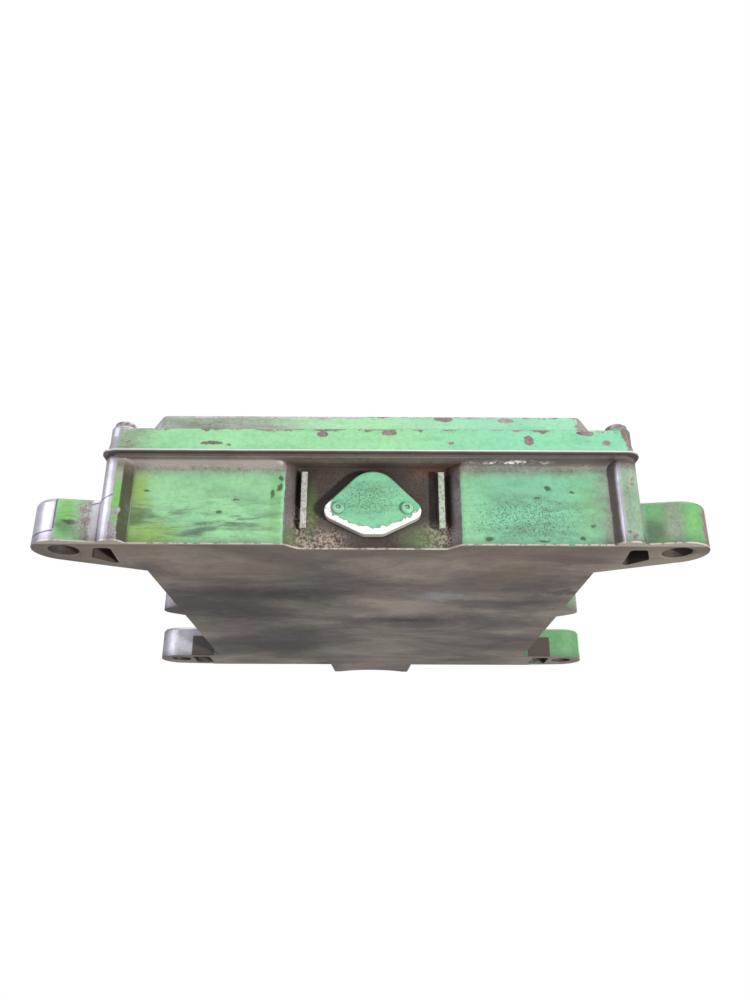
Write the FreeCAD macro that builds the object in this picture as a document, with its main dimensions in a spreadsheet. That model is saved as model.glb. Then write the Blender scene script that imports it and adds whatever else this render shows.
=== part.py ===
import FreeCAD, Part
import math
import os

import Sketcher

# Sealed electronic control unit of a rail vehicle, in millimetres.
# Origin: centre of the four lug bores on the mounting face. +Z out of the cover, -Y towards the
# recessed end with the breather port, X across the lugs.

Vector = FreeCAD.Vector
document = FreeCAD.newDocument("ControlUnit")
sheet = document.addObject("Spreadsheet::Sheet", "Sizes")
nodes = []


class Size:
    """A length with its value and the formula, in terms of the sheet's names, that gives it."""

    def __init__(self, value, text):
        self.value = value
        self.text = text

    def joined(self, sign, other, value):
        return Size(value, f"({self.text} {sign} {sized(other).text})")

    def __add__(self, other):
        return self.joined("+", other, self.value + sized(other).value)

    def __sub__(self, other):
        return self.joined("-", other, self.value - sized(other).value)

    def __mul__(self, other):
        return self.joined("*", other, self.value * sized(other).value)

    def __truediv__(self, other):
        return self.joined("/", other, self.value / sized(other).value)

    def __neg__(self):
        return Size(-self.value, f"(0 - {self.text})")

    __radd__ = __add__
    __rmul__ = __mul__

    def __rsub__(self, other):
        return sized(other) - self


def sized(number):
    return number if isinstance(number, Size) else Size(float(number), f"({float(number)})")


def driving(**values):
    """Writes driving dimensions to the sheet, one row each, and returns them as sizes."""
    made = []
    for alias, value in values.items():
        driving.row += 1
        sheet.set(f"A{driving.row}", alias.replace("_", " "))
        sheet.set(f"B{driving.row}", str(value))
        sheet.setAlias(f"B{driving.row}", alias)
        made.append(Size(float(value), f"Sizes.{alias}"))
    return made


driving.row = 0
# Housing: walls, rim, cavity and cove.
wall_x, panel_y, back_y, rim_top, rim_thick, rim_x, rim_y, rim_corner = driving(
    wall_half_width=107, panel_depth=131, back_depth=138, rim_height=41, rim_thickness=1.6,
    rim_half_width=118.8, rim_front_depth=136.4, rim_corner=7,
)
floor, cavity_x, cavity_near, cavity_far, cavity_corner, cove = driving(
    floor_thickness=5, cavity_half_width=102, cavity_near_depth=119.5, cavity_far_depth=132,
    cavity_corner=4, cove_radius=4,
)
soft = driving(small_corner=1.5)[0]
# Corner posts and side bosses.
post_outer, post_inner, post_back, post_front, post_corner, post_root = driving(
    post_outer_half_width=120, post_inner_half_width=109.4, post_back_depth=119,
    post_front_depth=135.3, post_corner=6, post_root_offset=99,
)
boss_x, boss_y, boss_r, boss_root = driving(
    side_boss_offset=110, side_boss_depth=17, side_boss_radius=6.5, side_boss_root=11,
)
# Lugs with their bores, arms and pockets.
lug_x, lug_y, lug_r, lug_top, bore_r, bore_chamfer, lug_round = driving(
    lug_half_spacing_across=137, lug_half_spacing_along=121, lug_eye_radius=13.8, lug_height=20.3,
    lug_bore_radius=6.75, lug_bore_chamfer=1.2, lug_edge_radius=2.3,
)
lower_chamfer = driving(lug_bore_lower_chamfer=0.4)[0]
neck_front, arm_root, fine, root_r, root_x, neck_x = driving(
    neck_front_depth=131, arm_root_depth=91, fine_corner=0.5, arm_root_corner=2.5,
    arm_root_offset=104.5, neck_offset=112.5,
)
pocket_inner, pocket_outer, pocket_r, pocket_top, pocket_near, pocket_far = driving(
    pocket_inner_offset=115.3, pocket_outer_offset=127, pocket_corner=2, pocket_height=13,
    pocket_near_depth=125, pocket_far_depth=104,
)
pocket_lean, pocket_slope, far_pocket_near, far_pocket_far = driving(
    pocket_lean=3.8, pocket_slope=6.5, far_pocket_near_depth=112, far_pocket_far_depth=131.5,
)
# Tongue between the connectors, then the recess with its ribs.
tongue_root, tongue_end, tongue_y, tongue_z, tongue_sag, tongue_round, tongue_arc = driving(
    tongue_root_half_width=30, tongue_end_half_width=28, tongue_depth=167, tongue_thickness=6,
    tongue_hollow=7, tongue_edge_radius=1.2, tongue_hollow_radius=45,
)
port_x, recess_y, mouth_x, recess_x, recess_r, mouth_r = driving(
    port_offset=0.8, recess_floor_depth=124.5, recess_mouth_half_width=40.2,
    recess_floor_half_width=34.5, recess_corner=2.2, recess_mouth_radius=3,
)
outside = driving(cutter_overrun=12)[0]
rib_x, rib_half, rib_y, rib_low, rib_high, rib_tip = driving(
    rib_offset=30.9, rib_half_thickness=1.4, rib_front_depth=129, rib_bottom=8.6, rib_top=35.6,
    rib_tip_radius=0.4,
)
# Board stands, heat pedestals, cover screws, gasket and connector windows.
stand_r, stand_top, board_z, stand_hole = driving(
    stand_radius=4, stand_height=12, board_thickness=1.6, stand_hole_radius=1.25,
)
stand_x, stand_first, stand_step = driving(stand_offset=90, stand_first=108, stand_step=71)
pad_z, pedestal_half = driving(thermal_pad_thickness=0.5, pedestal_half_width=15)
pedestal_places = driving(pedestal_first_depth=20, pedestal_second_depth=50)
screw_x, screw_y, screw_hole, screw_depth = driving(
    cover_screw_offset=113, cover_screw_depth=130.5, cover_screw_minor_radius=2.1,
    cover_screw_engagement=16,
)
seal_x, seal_near, seal_far, seal_w, seal_z, seal_r = driving(
    gasket_outer_half_width=106.2, gasket_near_depth=123.1, gasket_far_depth=136.1,
    gasket_width=2.2, gasket_depth=2.2, gasket_corner=5,
)
plug_x, plug_z, window_x, window_z, window_r = driving(
    connector_offset=64, connector_height=24, window_half_width=25.5, window_half_height=10.2,
    window_corner=3,
)
flange_screw_x, flange_screw_z, flange_hole, flange_end = driving(
    flange_screw_offset=27.2, flange_screw_rise=12.6, flange_screw_minor_radius=1.6,
    flange_screw_engagement=4.5,
)
vent_r, vent_z, plate_screw_x, plate_screw_z, plate_hole = driving(
    vent_radius=6.5, vent_height=22.5, plate_screw_offset=15.3, plate_screw_height=17.4,
    plate_screw_minor_radius=1.25,
)
clamp_first, clamp_step, clamp_z, clamp_hole, clamp_depth = driving(
    clamp_first_depth=84, clamp_step=42, clamp_height=24, clamp_screw_radius=1.25,
    clamp_screw_engagement=3.5,
)
# Cover: skirt, bead, raised middle, screw bosses and the hollow under the lid.
skirt_x, skirt_top, skirt_corner, draft, skirt_round = driving(
    skirt_half_width=119.8, skirt_height=54.4, skirt_corner=6.5, skirt_draft=10, skirt_edge_radius=1.6,
)
bead_x, bead_y, bead_top, bead_round = driving(
    bead_half_width=121, bead_depth=138.8, bead_height=42.3, bead_edge_radius=0.5,
)
raised_x, raised_y, raised_top, raised_corner, raised_draft, raised_round = driving(
    raised_half_width=106, raised_depth=131.5, raised_height=66.8, raised_corner=10,
    raised_draft=28, raised_edge_radius=2.4,
)
dome_r, dome_top, dome_round = driving(
    screw_boss_radius=6, screw_boss_height=55.6, screw_boss_edge_radius=1.8,
)
lid_x, lid_near, lid_far, lid_low, lid_top, lid_inner_near = driving(
    lid_cavity_half_width=101, lid_cavity_near_depth=119, lid_cavity_far_depth=131,
    lid_cavity_shoulder=48.5, lid_cavity_height=62.8, lid_upper_near_depth=118,
)
lid_inner_x, lid_inner_far = driving(lid_upper_half_width=99, lid_upper_far_depth=126)
clearance, spot_r = driving(cover_screw_clearance_radius=2.75, spot_face_radius=6.4)
# Rating plate with its rivets, and the cover screws' heads.
rivet_r, rivet_depth, plate_x, plate_y, label_r, label_z = driving(
    rivet_radius=1.1, rivet_depth=3, rating_plate_half_width=38, rating_plate_half_depth=18,
    rating_plate_corner=3, rating_plate_thickness=0.5,
)
rivet_inset = driving(rivet_inset=4)[0]
head_r, head_h, head_edge, socket_r, socket_z = driving(
    cover_screw_head_radius=4.9, cover_screw_head_height=2.5, cover_screw_head_edge=1.6,
    cover_screw_socket_radius=2, cover_screw_socket_depth=1.7,
)
rivet_head_r, rivet_head_h, rivet_edge = driving(
    rivet_head_radius=1.9, rivet_head_height=0.8, rivet_head_edge=0.5,
)
# Port plate, its screws and gasket, and the breather behind it.
plate_top, plate_low, top_r, side_r, low_r, plate_side, side_z, low_x = driving(
    port_plate_top=35.5, port_plate_bottom=5.6, port_plate_top_radius=12,
    port_plate_side_radius=4.4, port_plate_bottom_radius=14, port_plate_half_width=21.6,
    port_plate_side_height=16.8, port_plate_bottom_offset=3,
)
gasket_z, gasket_inset, plate_z, plate_round, plate_clear = driving(
    port_gasket_thickness=0.9, port_gasket_inset=0.6, port_plate_thickness=5, port_plate_edge_radius=1.1,
    plate_screw_clearance_radius=1.7,
)
plate_head_r, plate_head_h, plate_shank = driving(
    plate_screw_head_radius=2.75, plate_screw_head_height=1.5, plate_screw_length=9.4,
)
plate_socket_r, plate_socket_z, plate_edge = driving(
    plate_screw_socket_radius=1.3, plate_screw_socket_depth=0.6, plate_screw_head_edge=0.8,
)
membrane_z, ring_inner = driving(membrane_thickness=0.4, vent_ring_inner_radius=4.8)
ring_start = driving(vent_ring_start_depth=123)[0]
# Connectors: flange, shroud, insert, pins and flange screws.
flange_x, flange_z, flange_y, flange_r, flange_round, sheet_y = driving(
    flange_half_width=31, flange_half_height=16, flange_thickness=4, flange_corner=4,
    flange_edge_radius=0.8, flange_seal_thickness=0.8,
)
shroud_x, shroud_z, shroud_y, shroud_wall, shroud_floor, block_y = driving(
    shroud_half_width=24.5, shroud_half_height=12, shroud_depth=16, shroud_wall=1.8,
    shroud_floor_depth=1.5, block_depth=112,
)
insert_r, insert_bore, insert_y, insert_tip, insert_floor, post_wall, post_step = driving(
    insert_radius=3.6, insert_bore_radius=2.1, insert_length=14, insert_stand=7, insert_floor=2,
    insert_post_wall=1.5, insert_post_step=0.6,
)
pin_half, pin_pitch_x, pin_pitch_z, pin_first_x, pin_tip, tail_y, tail_step = driving(
    pin_half_width=0.5, pin_pitch_across=3.3, pin_pitch_up=4.4, pin_first_offset=6.4,
    pin_stand=7, tail_first_depth=126.5, tail_step=3.4,
)
flange_screw_clearance = driving(flange_screw_clearance_radius=2.1)[0]
flange_head_r, flange_head_h, flange_edge, flange_socket = driving(
    flange_screw_head_radius=3.3, flange_screw_head_height=2.2, flange_screw_head_edge=1,
    flange_screw_socket_radius=1.6,
)
# Circuit board and its packages.
board_x, board_near, board_far, board_corner = driving(
    board_half_width=100.5, board_near_depth=115, board_far_depth=129, board_corner=3,
)
board_screw_r = driving(board_screw_clearance_radius=1.6)[0]
board_head_r, board_head_h, board_length = driving(
    board_screw_head_radius=2.8, board_screw_head_height=1.8, board_screw_length=7,
)
processor_half, processor_h = driving(processor_half_width=13.5, processor_height=2.2)
memory_x, memory_y, memory_h, memory_gap = driving(
    memory_half_width=9, memory_half_depth=6, memory_height=1.2, memory_gap=16,
)
driver_x, driver_y, driver_h, driver_gap = driving(
    driver_half_width=6.4, driver_half_depth=3.8, driver_height=2.3, driver_gap=14,
)
crystal_x, crystal_y, crystal_h = driving(
    crystal_half_width=5.5, crystal_half_depth=2.2, crystal_height=3.5,
)
can_r, can_h, can_edge, can_gap = driving(
    capacitor_radius=8, capacitor_height=22, capacitor_edge=1, capacitor_gap=19,
)
film_x, film_y, film_h, film_gap = driving(
    film_half_width=9, film_half_depth=4, film_height=14, film_gap=13,
)
core_r, core_disc, core_h, core_post, winding_r, coil_gap = driving(
    core_radius=10, core_flange=2, core_height=13, core_post_radius=4, winding_radius=9,
    coil_gap=24,
)
cell_r, cell_h, holder_r, holder_h, holder_floor = driving(
    cell_radius=10, cell_height=3.2, holder_radius=11.5, holder_height=4.6, holder_floor=1.4,
)
sensor_half, sensor_h, barb_r, barb_h = driving(
    sensor_half_width=5, sensor_height=4, barb_radius=1.6, barb_height=6,
)
header_x, header_y, header_h, header_wall = driving(
    header_half_width=9, header_half_depth=4.2, header_height=9, header_wall=1,
)
part_x, part_y, part_h, part_step = driving(
    chip_part_half_width=1.6, chip_part_half_depth=0.9, chip_part_height=0.9, chip_part_step=6,
)
# Power transistors with their strip and clamp.
strip_t, transistor_t, transistor_half, transistor_low, transistor_high = driving(
    insulating_strip_thickness=0.5, transistor_thickness=4.4, transistor_half_width=5.2,
    transistor_bottom=16, transistor_top=31,
)
clamp_t, clamp_half, strip_end = driving(
    clamp_thickness=1.5, clamp_half_height=4, strip_end_depth=90,
)
lead_half, lead_step, transistor_spread = driving(
    lead_half_width=0.4, lead_step=2.54, transistor_spread=7.35,
)

# Where the packages sit on the board: offset across, then the place of the first along it.
package_corner = driving(package_corner=0.3)[0]
memory_at, memory_first, driver_at, driver_first, crystal_at, crystal_first = driving(
    memory_offset=30, memory_first=-36, driver_offset=9, driver_first=34,
    crystal_offset=-24, crystal_first=-20,
)
can_at, can_outer, can_first, film_at, film_first = driving(
    capacitor_offset=56, capacitor_outer_offset=75, capacitor_first=-88, film_offset=66,
    film_first=-26,
)
coil_at, coil_first, cell_at, cell_first, sensor_first, header_at = driving(
    inductor_offset=-60, inductor_first=-88, cell_offset=-60, cell_first=20, sensor_first=-96,
    header_offset=-36,
)
part_left, part_right, part_column, part_first = driving(
    chip_part_left=-72, chip_part_right=28, chip_part_column=10, chip_part_first=56,
)
document.recompute()


def bind(target, **formulas):
    for name, size in formulas.items():
        target.setExpression(name.replace("__", "."), sized(size).text)


def place(target, x, y, z):
    for axis, size in zip("xyz", (x, y, z)):
        target.setExpression(f"Placement.Base.{axis}", sized(size).text)


def tangent_angle(first, second):
    """Direction from a lobe's centre to where the outline leaves it for the next lobe."""
    dx = second[0] - first[0]
    dy = second[1] - first[1]
    return math.atan2(dy, dx) - math.acos((first[2] - second[2]) / math.hypot(dx, dy))


def draw_lobes(sketch, lobes):
    """Draws the belt around circles given anticlockwise as (x, y, radius), each bound to the sheet."""
    lobes = [tuple(sized(part) for part in lobe) for lobe in lobes]
    plain = [tuple(part.value for part in lobe) for lobe in lobes]
    count = len(lobes)
    arcs = []
    if count == 1:
        x, y, radius = plain[0]
        circle = Part.Circle(Vector(x, y, 0), Vector(0, 0, 1), radius)
        arcs.append(sketch.addGeometry(circle, False))
    else:
        angles = [tangent_angle(plain[i], plain[(i + 1) % count]) for i in range(count)]
        for i, (x, y, radius) in enumerate(plain):
            sweep = (angles[i] - angles[i - 1]) % (2 * math.pi)
            circle = Part.Circle(Vector(x, y, 0), Vector(0, 0, 1), radius)
            arc = Part.ArcOfCircle(circle, angles[i - 1], angles[i - 1] + sweep)
            arcs.append(sketch.addGeometry(arc, False))
        for i, angle in enumerate(angles):
            ends = [
                Vector(x + radius * math.cos(angle), y + radius * math.sin(angle), 0)
                for x, y, radius in (plain[i], plain[(i + 1) % count])
            ]
            line = sketch.addGeometry(Part.LineSegment(*ends), False)
            sketch.addConstraint(Sketcher.Constraint("Tangent", arcs[i], 2, line, 1))
            following = arcs[(i + 1) % count]
            sketch.addConstraint(Sketcher.Constraint("Tangent", line, 2, following, 1))
    for arc, (x, y, radius) in zip(arcs, lobes):
        for constraint, size in (
            (Sketcher.Constraint("DistanceX", -1, 1, arc, 3, x.value), x),
            (Sketcher.Constraint("DistanceY", -1, 1, arc, 3, y.value), y),
            (Sketcher.Constraint("Radius", arc, radius.value), radius),
        ):
            index = sketch.addConstraint(constraint)
            sketch.setExpression(f"Constraints[{index}]", size.text)


def prism(label, low, high, lobes, plane="XY", taper=None, rounding=None):
    """A padded outline between two heights (along Y on plane XZ, along X on plane YZ).

    taper narrows it upwards by an angle, and rounding rolls the edges of its upper end."""
    low, high = sized(low), sized(high)
    body = document.addObject("PartDesign::Body", label)
    sketch = body.newObject("Sketcher::SketchObject", label + "_outline")
    role = plane + "_Plane"
    support = next(item for item in body.Origin.OriginFeatures if item.Role == role)
    sketch.AttachmentSupport = [(support, "")]
    sketch.MapMode = "FlatFace"
    start = -high if plane == "XZ" else low
    sketch.setExpression("AttachmentOffset.Base.z", start.text)
    draw_lobes(sketch, lobes)
    pad = body.newObject("PartDesign::Pad", label + "_pad")
    pad.Profile = sketch
    bind(pad, Length=high - low)
    if taper is not None:
        bind(pad, TaperAngle=-sized(taper))
    if rounding is not None:
        document.recompute()
        level = sized(low if plane == "XZ" else high).value
        span = {"XY": ("ZMin", "ZMax"), "XZ": ("YMin", "YMax"), "YZ": ("XMin", "XMax")}[plane]
        edges = [
            f"Edge{number}"
            for number, edge in enumerate(pad.Shape.Edges, 1)
            if all(abs(getattr(edge.BoundBox, side) - level) < 0.001 for side in span)
        ]
        fillet = body.newObject("PartDesign::Fillet", label + "_rounding")
        fillet.Base = (pad, edges)
        bind(fillet, Radius=rounding)
    return body


def box(label, x, y, z):
    """A block given by its (low, high) pair along each axis."""
    block = document.addObject("Part::Box", label)
    bind(block, Length=x[1] - sized(x[0]), Width=y[1] - sized(y[0]), Height=z[1] - sized(z[0]))
    place(block, x[0], y[0], z[0])
    return block


def rod(label, radius, low, high, x=0, y=0, z=0, axis="Z"):
    """A cylinder along one axis from low to high."""
    cylinder = document.addObject("Part::Cylinder", label)
    bind(cylinder, Radius=radius, Height=high - sized(low))
    start = {"X": (low, y, z), "Y": (x, low, z), "Z": (x, y, low)}[axis]
    turns = {"X": (Vector(0, 1, 0), 90), "Y": (Vector(1, 0, 0), -90), "Z": (Vector(0, 0, 1), 0)}
    cylinder.Placement.Rotation = FreeCAD.Rotation(*turns[axis])
    place(cylinder, *start)
    return cylinder


def fuse(label, *pieces):
    joined = document.addObject("Part::MultiFuse", label)
    joined.Shapes = list(pieces)
    joined.Refine = True
    return joined


def cut(label, base, *tools):
    result = document.addObject("Part::Cut", label)
    result.Base = base
    result.Tool = tools[0] if len(tools) == 1 else fuse(label + "_tools", *tools)
    return result


def compound(label, *pieces):
    group = document.addObject("Part::Compound", label)
    group.Links = list(pieces)
    return group


def copies(label, master, places, axis=Vector(0, 0, 1), degrees=0):
    """Separate solids of one shape, turned about an axis if asked and moved to each (x, y, z)."""
    document.recompute()
    shapes = []
    for spot in places:
        shape = master.Shape.copy()
        target = FreeCAD.Placement(
            Vector(*[sized(part).value for part in spot]), FreeCAD.Rotation(axis, degrees))
        shape.Placement = target.multiply(shape.Placement)
        shapes.append(shape)
    group = document.addObject("Part::Feature", label)
    group.Shape = Part.makeCompound(shapes)
    return group


def rectangle_lobes(x, y, radius):
    """Outline of a rectangle with rounded corners, given by its (low, high) pairs."""
    (left, right), (near, far) = x, y
    return [
        (right - sized(radius), near + sized(radius), radius),
        (right - sized(radius), far - sized(radius), radius),
        (left + sized(radius), far - sized(radius), radius),
        (left + sized(radius), near + sized(radius), radius),
    ]


def mirrored(lobes):
    """The outline reflected in X, still anticlockwise."""
    return [(-sized(x), y, radius) for x, y, radius in reversed(lobes)]


def node(piece, label):
    piece.Label = label
    nodes.append(piece)
    return piece


# Housing: a die-cast tub. Flat walls stand inside corner posts and a rim, with a cove below it.
rim_under = rim_top - rim_thick
case_block = prism(
    "case_block", 0, rim_top, rectangle_lobes((-wall_x, wall_x), (-panel_y, back_y), fine)
)
rim = prism(
    "rim", rim_under, rim_top, rectangle_lobes((-rim_x, rim_x), (-rim_y, back_y), rim_corner)
)

# Corner posts, square in plan with a large outer radius, full height. They take the cover screws.


def post_lobes(side, end):
    front, inner = (post_front, post_inner) if end < 0 else (back_y, post_root)
    near_right = [
        (post_outer - post_corner, -front + post_corner, post_corner),
        (post_outer - soft, -post_back - soft, soft),
        (post_root, -post_back - soft, soft),
        (inner + soft, -front + soft, soft),
    ]
    lobes = near_right if side > 0 else mirrored(near_right)
    if end > 0:
        lobes = [(x, -y, radius) for x, y, radius in reversed(lobes)]
    return lobes


posts = [
    prism(f"post_{'left' if side < 0 else 'right'}_{'near' if end < 0 else 'far'}", 0, rim_top,
          post_lobes(side, end))
    for side in (-1, 1)
    for end in (-1, 1)
]

# A tapered boss halfway along each side takes a cover screw too.
right_boss = [
    (boss_x, -boss_y, boss_r),
    (wall_x - soft * 2, -boss_y + boss_root, soft),
    (wall_x - soft * 2, -boss_y - boss_root, soft),
]
side_bosses = [
    prism("side_boss_right", 0, rim_top, right_boss),
    prism("side_boss_left", 0, rim_top, mirrored(right_boss)),
]

# Cove below the rim along the near end and both sides.
near_cove = cut(
    "near_cove",
    box("near_cove_bar", (-post_inner, post_inner), (-panel_y - cove, -panel_y),
        (rim_under - cove, rim_under)),
    rod("near_cove_cut", cove, -post_outer, post_outer, y=-panel_y - cove, z=rim_under - cove,
        axis="X"),
)
side_coves = [
    cut(
        f"side_cove_{name}",
        box(f"side_cove_bar_{name}", (sized(low), sized(high)), (-post_back, post_back),
            (rim_under - cove, rim_under)),
        rod(f"side_cove_cut_{name}", cove, -back_y, back_y, x=centre, z=rim_under - cove,
            axis="Y"),
    )
    for name, low, high, centre in (
        ("left", -wall_x - cove, -wall_x, -wall_x - cove),
        ("right", wall_x, wall_x + cove, wall_x + cove),
    )
]

# Lugs: a round eye on a tapering arm, flat underneath, with a cored pocket between eye and wall.
near_arm = [
    (lug_x, -lug_y, lug_r),
    (root_x, -arm_root - root_r, root_r),
    (root_x, -neck_front + root_r * 2, root_r),
    (neck_x, -neck_front + root_r, root_r),
]
far_arm = [
    (lug_x, lug_y, lug_r),
    (root_x, back_y - root_r, root_r),
    (root_x, lug_y - lug_r + root_r, root_r),
]
near_pocket = [
    (pocket_outer - pocket_lean - pocket_r, -pocket_near + pocket_r, pocket_r),
    (pocket_outer - pocket_r, -pocket_far - pocket_slope - pocket_r, pocket_r),
    (pocket_inner + soft + pocket_r, -pocket_far - pocket_r, pocket_r),
    (pocket_inner + pocket_r, -pocket_near + pocket_r, pocket_r),
]
far_pocket = rectangle_lobes(
    (pocket_inner, pocket_outer), (far_pocket_near, far_pocket_far), pocket_r)
lugs = []
lug_cuts = []
for side, name in ((-1, "left"), (1, "right")):
    turned = mirrored if side < 0 else list
    lugs.append(prism(f"near_arm_{name}", 0, lug_top, turned(near_arm), rounding=lug_round))
    lugs.append(prism(f"far_arm_{name}", 0, lug_top, turned(far_arm), rounding=lug_round))
    lug_cuts.append(prism(f"near_pocket_{name}", 0, pocket_top, turned(near_pocket)))
    lug_cuts.append(prism(f"far_pocket_{name}", 0, pocket_top, turned(far_pocket)))
    for end, where in ((-1, "near"), (1, "far")):
        lug_cuts.append(rod(f"bore_{where}_{name}", bore_r, -1, lug_top + 1, x=lug_x * side,
                            y=lug_y * end))
        for mouth in ("bottom", "top"):
            flare = document.addObject("Part::Cone", f"bore_chamfer_{mouth}_{where}_{name}")
            height = lower_chamfer if mouth == "bottom" else bore_chamfer
            low_r = bore_r + bore_chamfer if mouth == "bottom" else bore_r
            high_r = bore_r if mouth == "bottom" else bore_r + bore_chamfer
            bind(flare, Radius1=low_r, Radius2=high_r, Height=height)
            start = sized(0) if mouth == "bottom" else lug_top - bore_chamfer
            place(flare, lug_x * side, lug_y * end, start)
            lug_cuts.append(flare)

# Tongue: a tab of the base plate that runs out between the connectors, with a hollowed end.
tongue = prism("tongue_plate", 0, tongue_z, [
    (tongue_root - soft, back_y - floor, soft),
    (tongue_end - soft, tongue_y - soft, soft),
    (-tongue_end + soft, tongue_y - soft, soft),
    (-tongue_root + soft, back_y - floor, soft),
], rounding=tongue_round)
tongue_cut = rod("tongue_hollow", tongue_arc, -1, tongue_z + 1,
                 y=tongue_y - tongue_sag + tongue_arc)

# Recess in the near end, open at the mounting face, with two upright ribs beside the port plate.
flare_x = recess_x + (mouth_x - recess_x) * (outside + panel_y - recess_y) / (panel_y - recess_y)
recess = prism("recess_cut", -1, rim_under, [
    (port_x + flare_x, -panel_y - outside, fine),
    (port_x + recess_x - recess_r, -recess_y - recess_r, recess_r),
    (port_x - recess_x + recess_r, -recess_y - recess_r, recess_r),
    (port_x - flare_x, -panel_y - outside, fine),
])
ribs = [
    prism(f"rib_{name}", rib_low, rib_high, rectangle_lobes(
        (port_x + rib_x * side - rib_half, port_x + rib_x * side + rib_half),
        (-rib_y, -recess_y + 1), rib_tip))
    for side, name in ((-1, "left"), (1, "right"))
]

# Inside: board posts, pedestals that carry heat from the board, screw holes and the two
# connector windows in the far wall.
stand_places = [(stand_x * side, -stand_first + stand_step * i) for side in (-1, 1)
                for i in range(4)]
stands = [rod(f"stand_{i}", stand_r, floor - 1, stand_top, x=x, y=y)
          for i, (x, y) in enumerate(stand_places)]
stand_holes = [rod(f"stand_hole_{i}", stand_hole, floor + 1, stand_top, x=x, y=y)
               for i, (x, y) in enumerate(stand_places)]
pedestals = [
    box(f"pedestal_{i}", (-pedestal_half, pedestal_half),
        (y - pedestal_half, y + pedestal_half), (floor - 1, stand_top - pad_z))
    for i, y in enumerate((-pedestal_places[0], pedestal_places[1]))
]
screw_places = [(screw_x * side, y) for side in (-1, 1) for y in (-screw_y, screw_y)]
screw_places += [(boss_x * side, -boss_y) for side in (-1, 1)]
screw_holes = [
    rod(f"cover_screw_hole_{i}", screw_hole, rim_top - screw_depth, rim_top + 1, x=x, y=y)
    for i, (x, y) in enumerate(screw_places)
]
cavity = prism("cavity", floor, rim_top + 1, rectangle_lobes(
    (-cavity_x, cavity_x), (-cavity_near, cavity_far), cavity_corner))


def gasket_ring(label):
    outer = prism(label + "_outer", rim_top - seal_z, rim_top, rectangle_lobes(
        (-seal_x, seal_x), (-seal_near, seal_far), seal_r))
    inner = prism(label + "_inner", rim_top - seal_z, rim_top, rectangle_lobes(
        (-seal_x + seal_w, seal_x - seal_w), (-seal_near + seal_w, seal_far - seal_w),
        seal_r - seal_w))
    return cut(label, outer, inner)


connector_sides = (("a", -1), ("b", 1))


def connector_lobes(side, half_x, half_z, corner):
    centre = plug_x * side
    return rectangle_lobes((centre - half_x, centre + half_x), (plug_z - half_z, plug_z + half_z),
                           corner)


windows = [
    prism(f"window_{name}", cavity_far - 1, back_y + 1,
          connector_lobes(side, window_x, window_z, window_r), plane="XZ")
    for name, side in connector_sides
]
flange_places = [
    (plug_x * side + flange_screw_x * across, plug_z + flange_screw_z * up)
    for _, side in connector_sides
    for across in (-1, 1)
    for up in (-1, 1)
]
flange_holes = [
    rod(f"flange_hole_{i}", flange_hole, back_y - flange_end, back_y + 1, x=x, z=z, axis="Y")
    for i, (x, z) in enumerate(flange_places)
]
vent_window = rod("vent_window", vent_r, -recess_y - 1, -cavity_near + 1, x=port_x, z=vent_z,
                  axis="Y")
plate_places = [port_x - plate_screw_x, port_x + plate_screw_x]
plate_holes = [
    rod(f"plate_hole_{i}", plate_hole, -recess_y - 1, -recess_y + 4, x=x, z=plate_screw_z,
        axis="Y")
    for i, x in enumerate(plate_places)
]

# The transistor clamp's screws enter the left wall.
clamp_places = [-clamp_first + clamp_step * i for i in range(5)]
clamp_holes = [
    rod(f"clamp_hole_{i}", clamp_hole, -cavity_x - clamp_depth, -cavity_x + 1, y=y, z=clamp_z,
        axis="X")
    for i, y in enumerate(clamp_places)
]

end_wall = cut("end_wall", fuse("case_with_cove", case_block, near_cove), recess)
document.recompute()


def mouth_edges(shape):
    """The two upright edges where the near panels turn into the recess."""
    found = []
    for number, edge in enumerate(shape.Edges, 1):
        limits = edge.BoundBox
        upright = limits.ZLength > 10 and limits.XLength < 0.01 and limits.YLength < 0.01
        at_mouth = abs(abs(limits.XMin - port_x.value) - mouth_x.value) < 0.8
        if upright and at_mouth and abs(limits.YMin + panel_y.value) < 0.1:
            found.append((number, mouth_r.value, mouth_r.value))
    return found


rounded_wall = document.addObject("Part::Fillet", "rounded_end_wall")
rounded_wall.Base = end_wall
rounded_wall.Edges = mouth_edges(end_wall.Shape)

shell = fuse("housing_shell", rounded_wall, rim, *posts, *side_bosses, *side_coves, *lugs, tongue)
hollow = cut("housing_hollow", shell, cavity)
furnished = fuse("housing_furnished", hollow, *ribs, *stands, *pedestals)
housing = cut(
    "housing_cast", furnished, *lug_cuts, tongue_cut, *stand_holes, *screw_holes,
    gasket_ring("gasket_groove"), *windows, *flange_holes, vent_window, *plate_holes,
    *clamp_holes,
)
node(housing, "housing")
node(gasket_ring("gasket_cord"), "cover_gasket")

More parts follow.
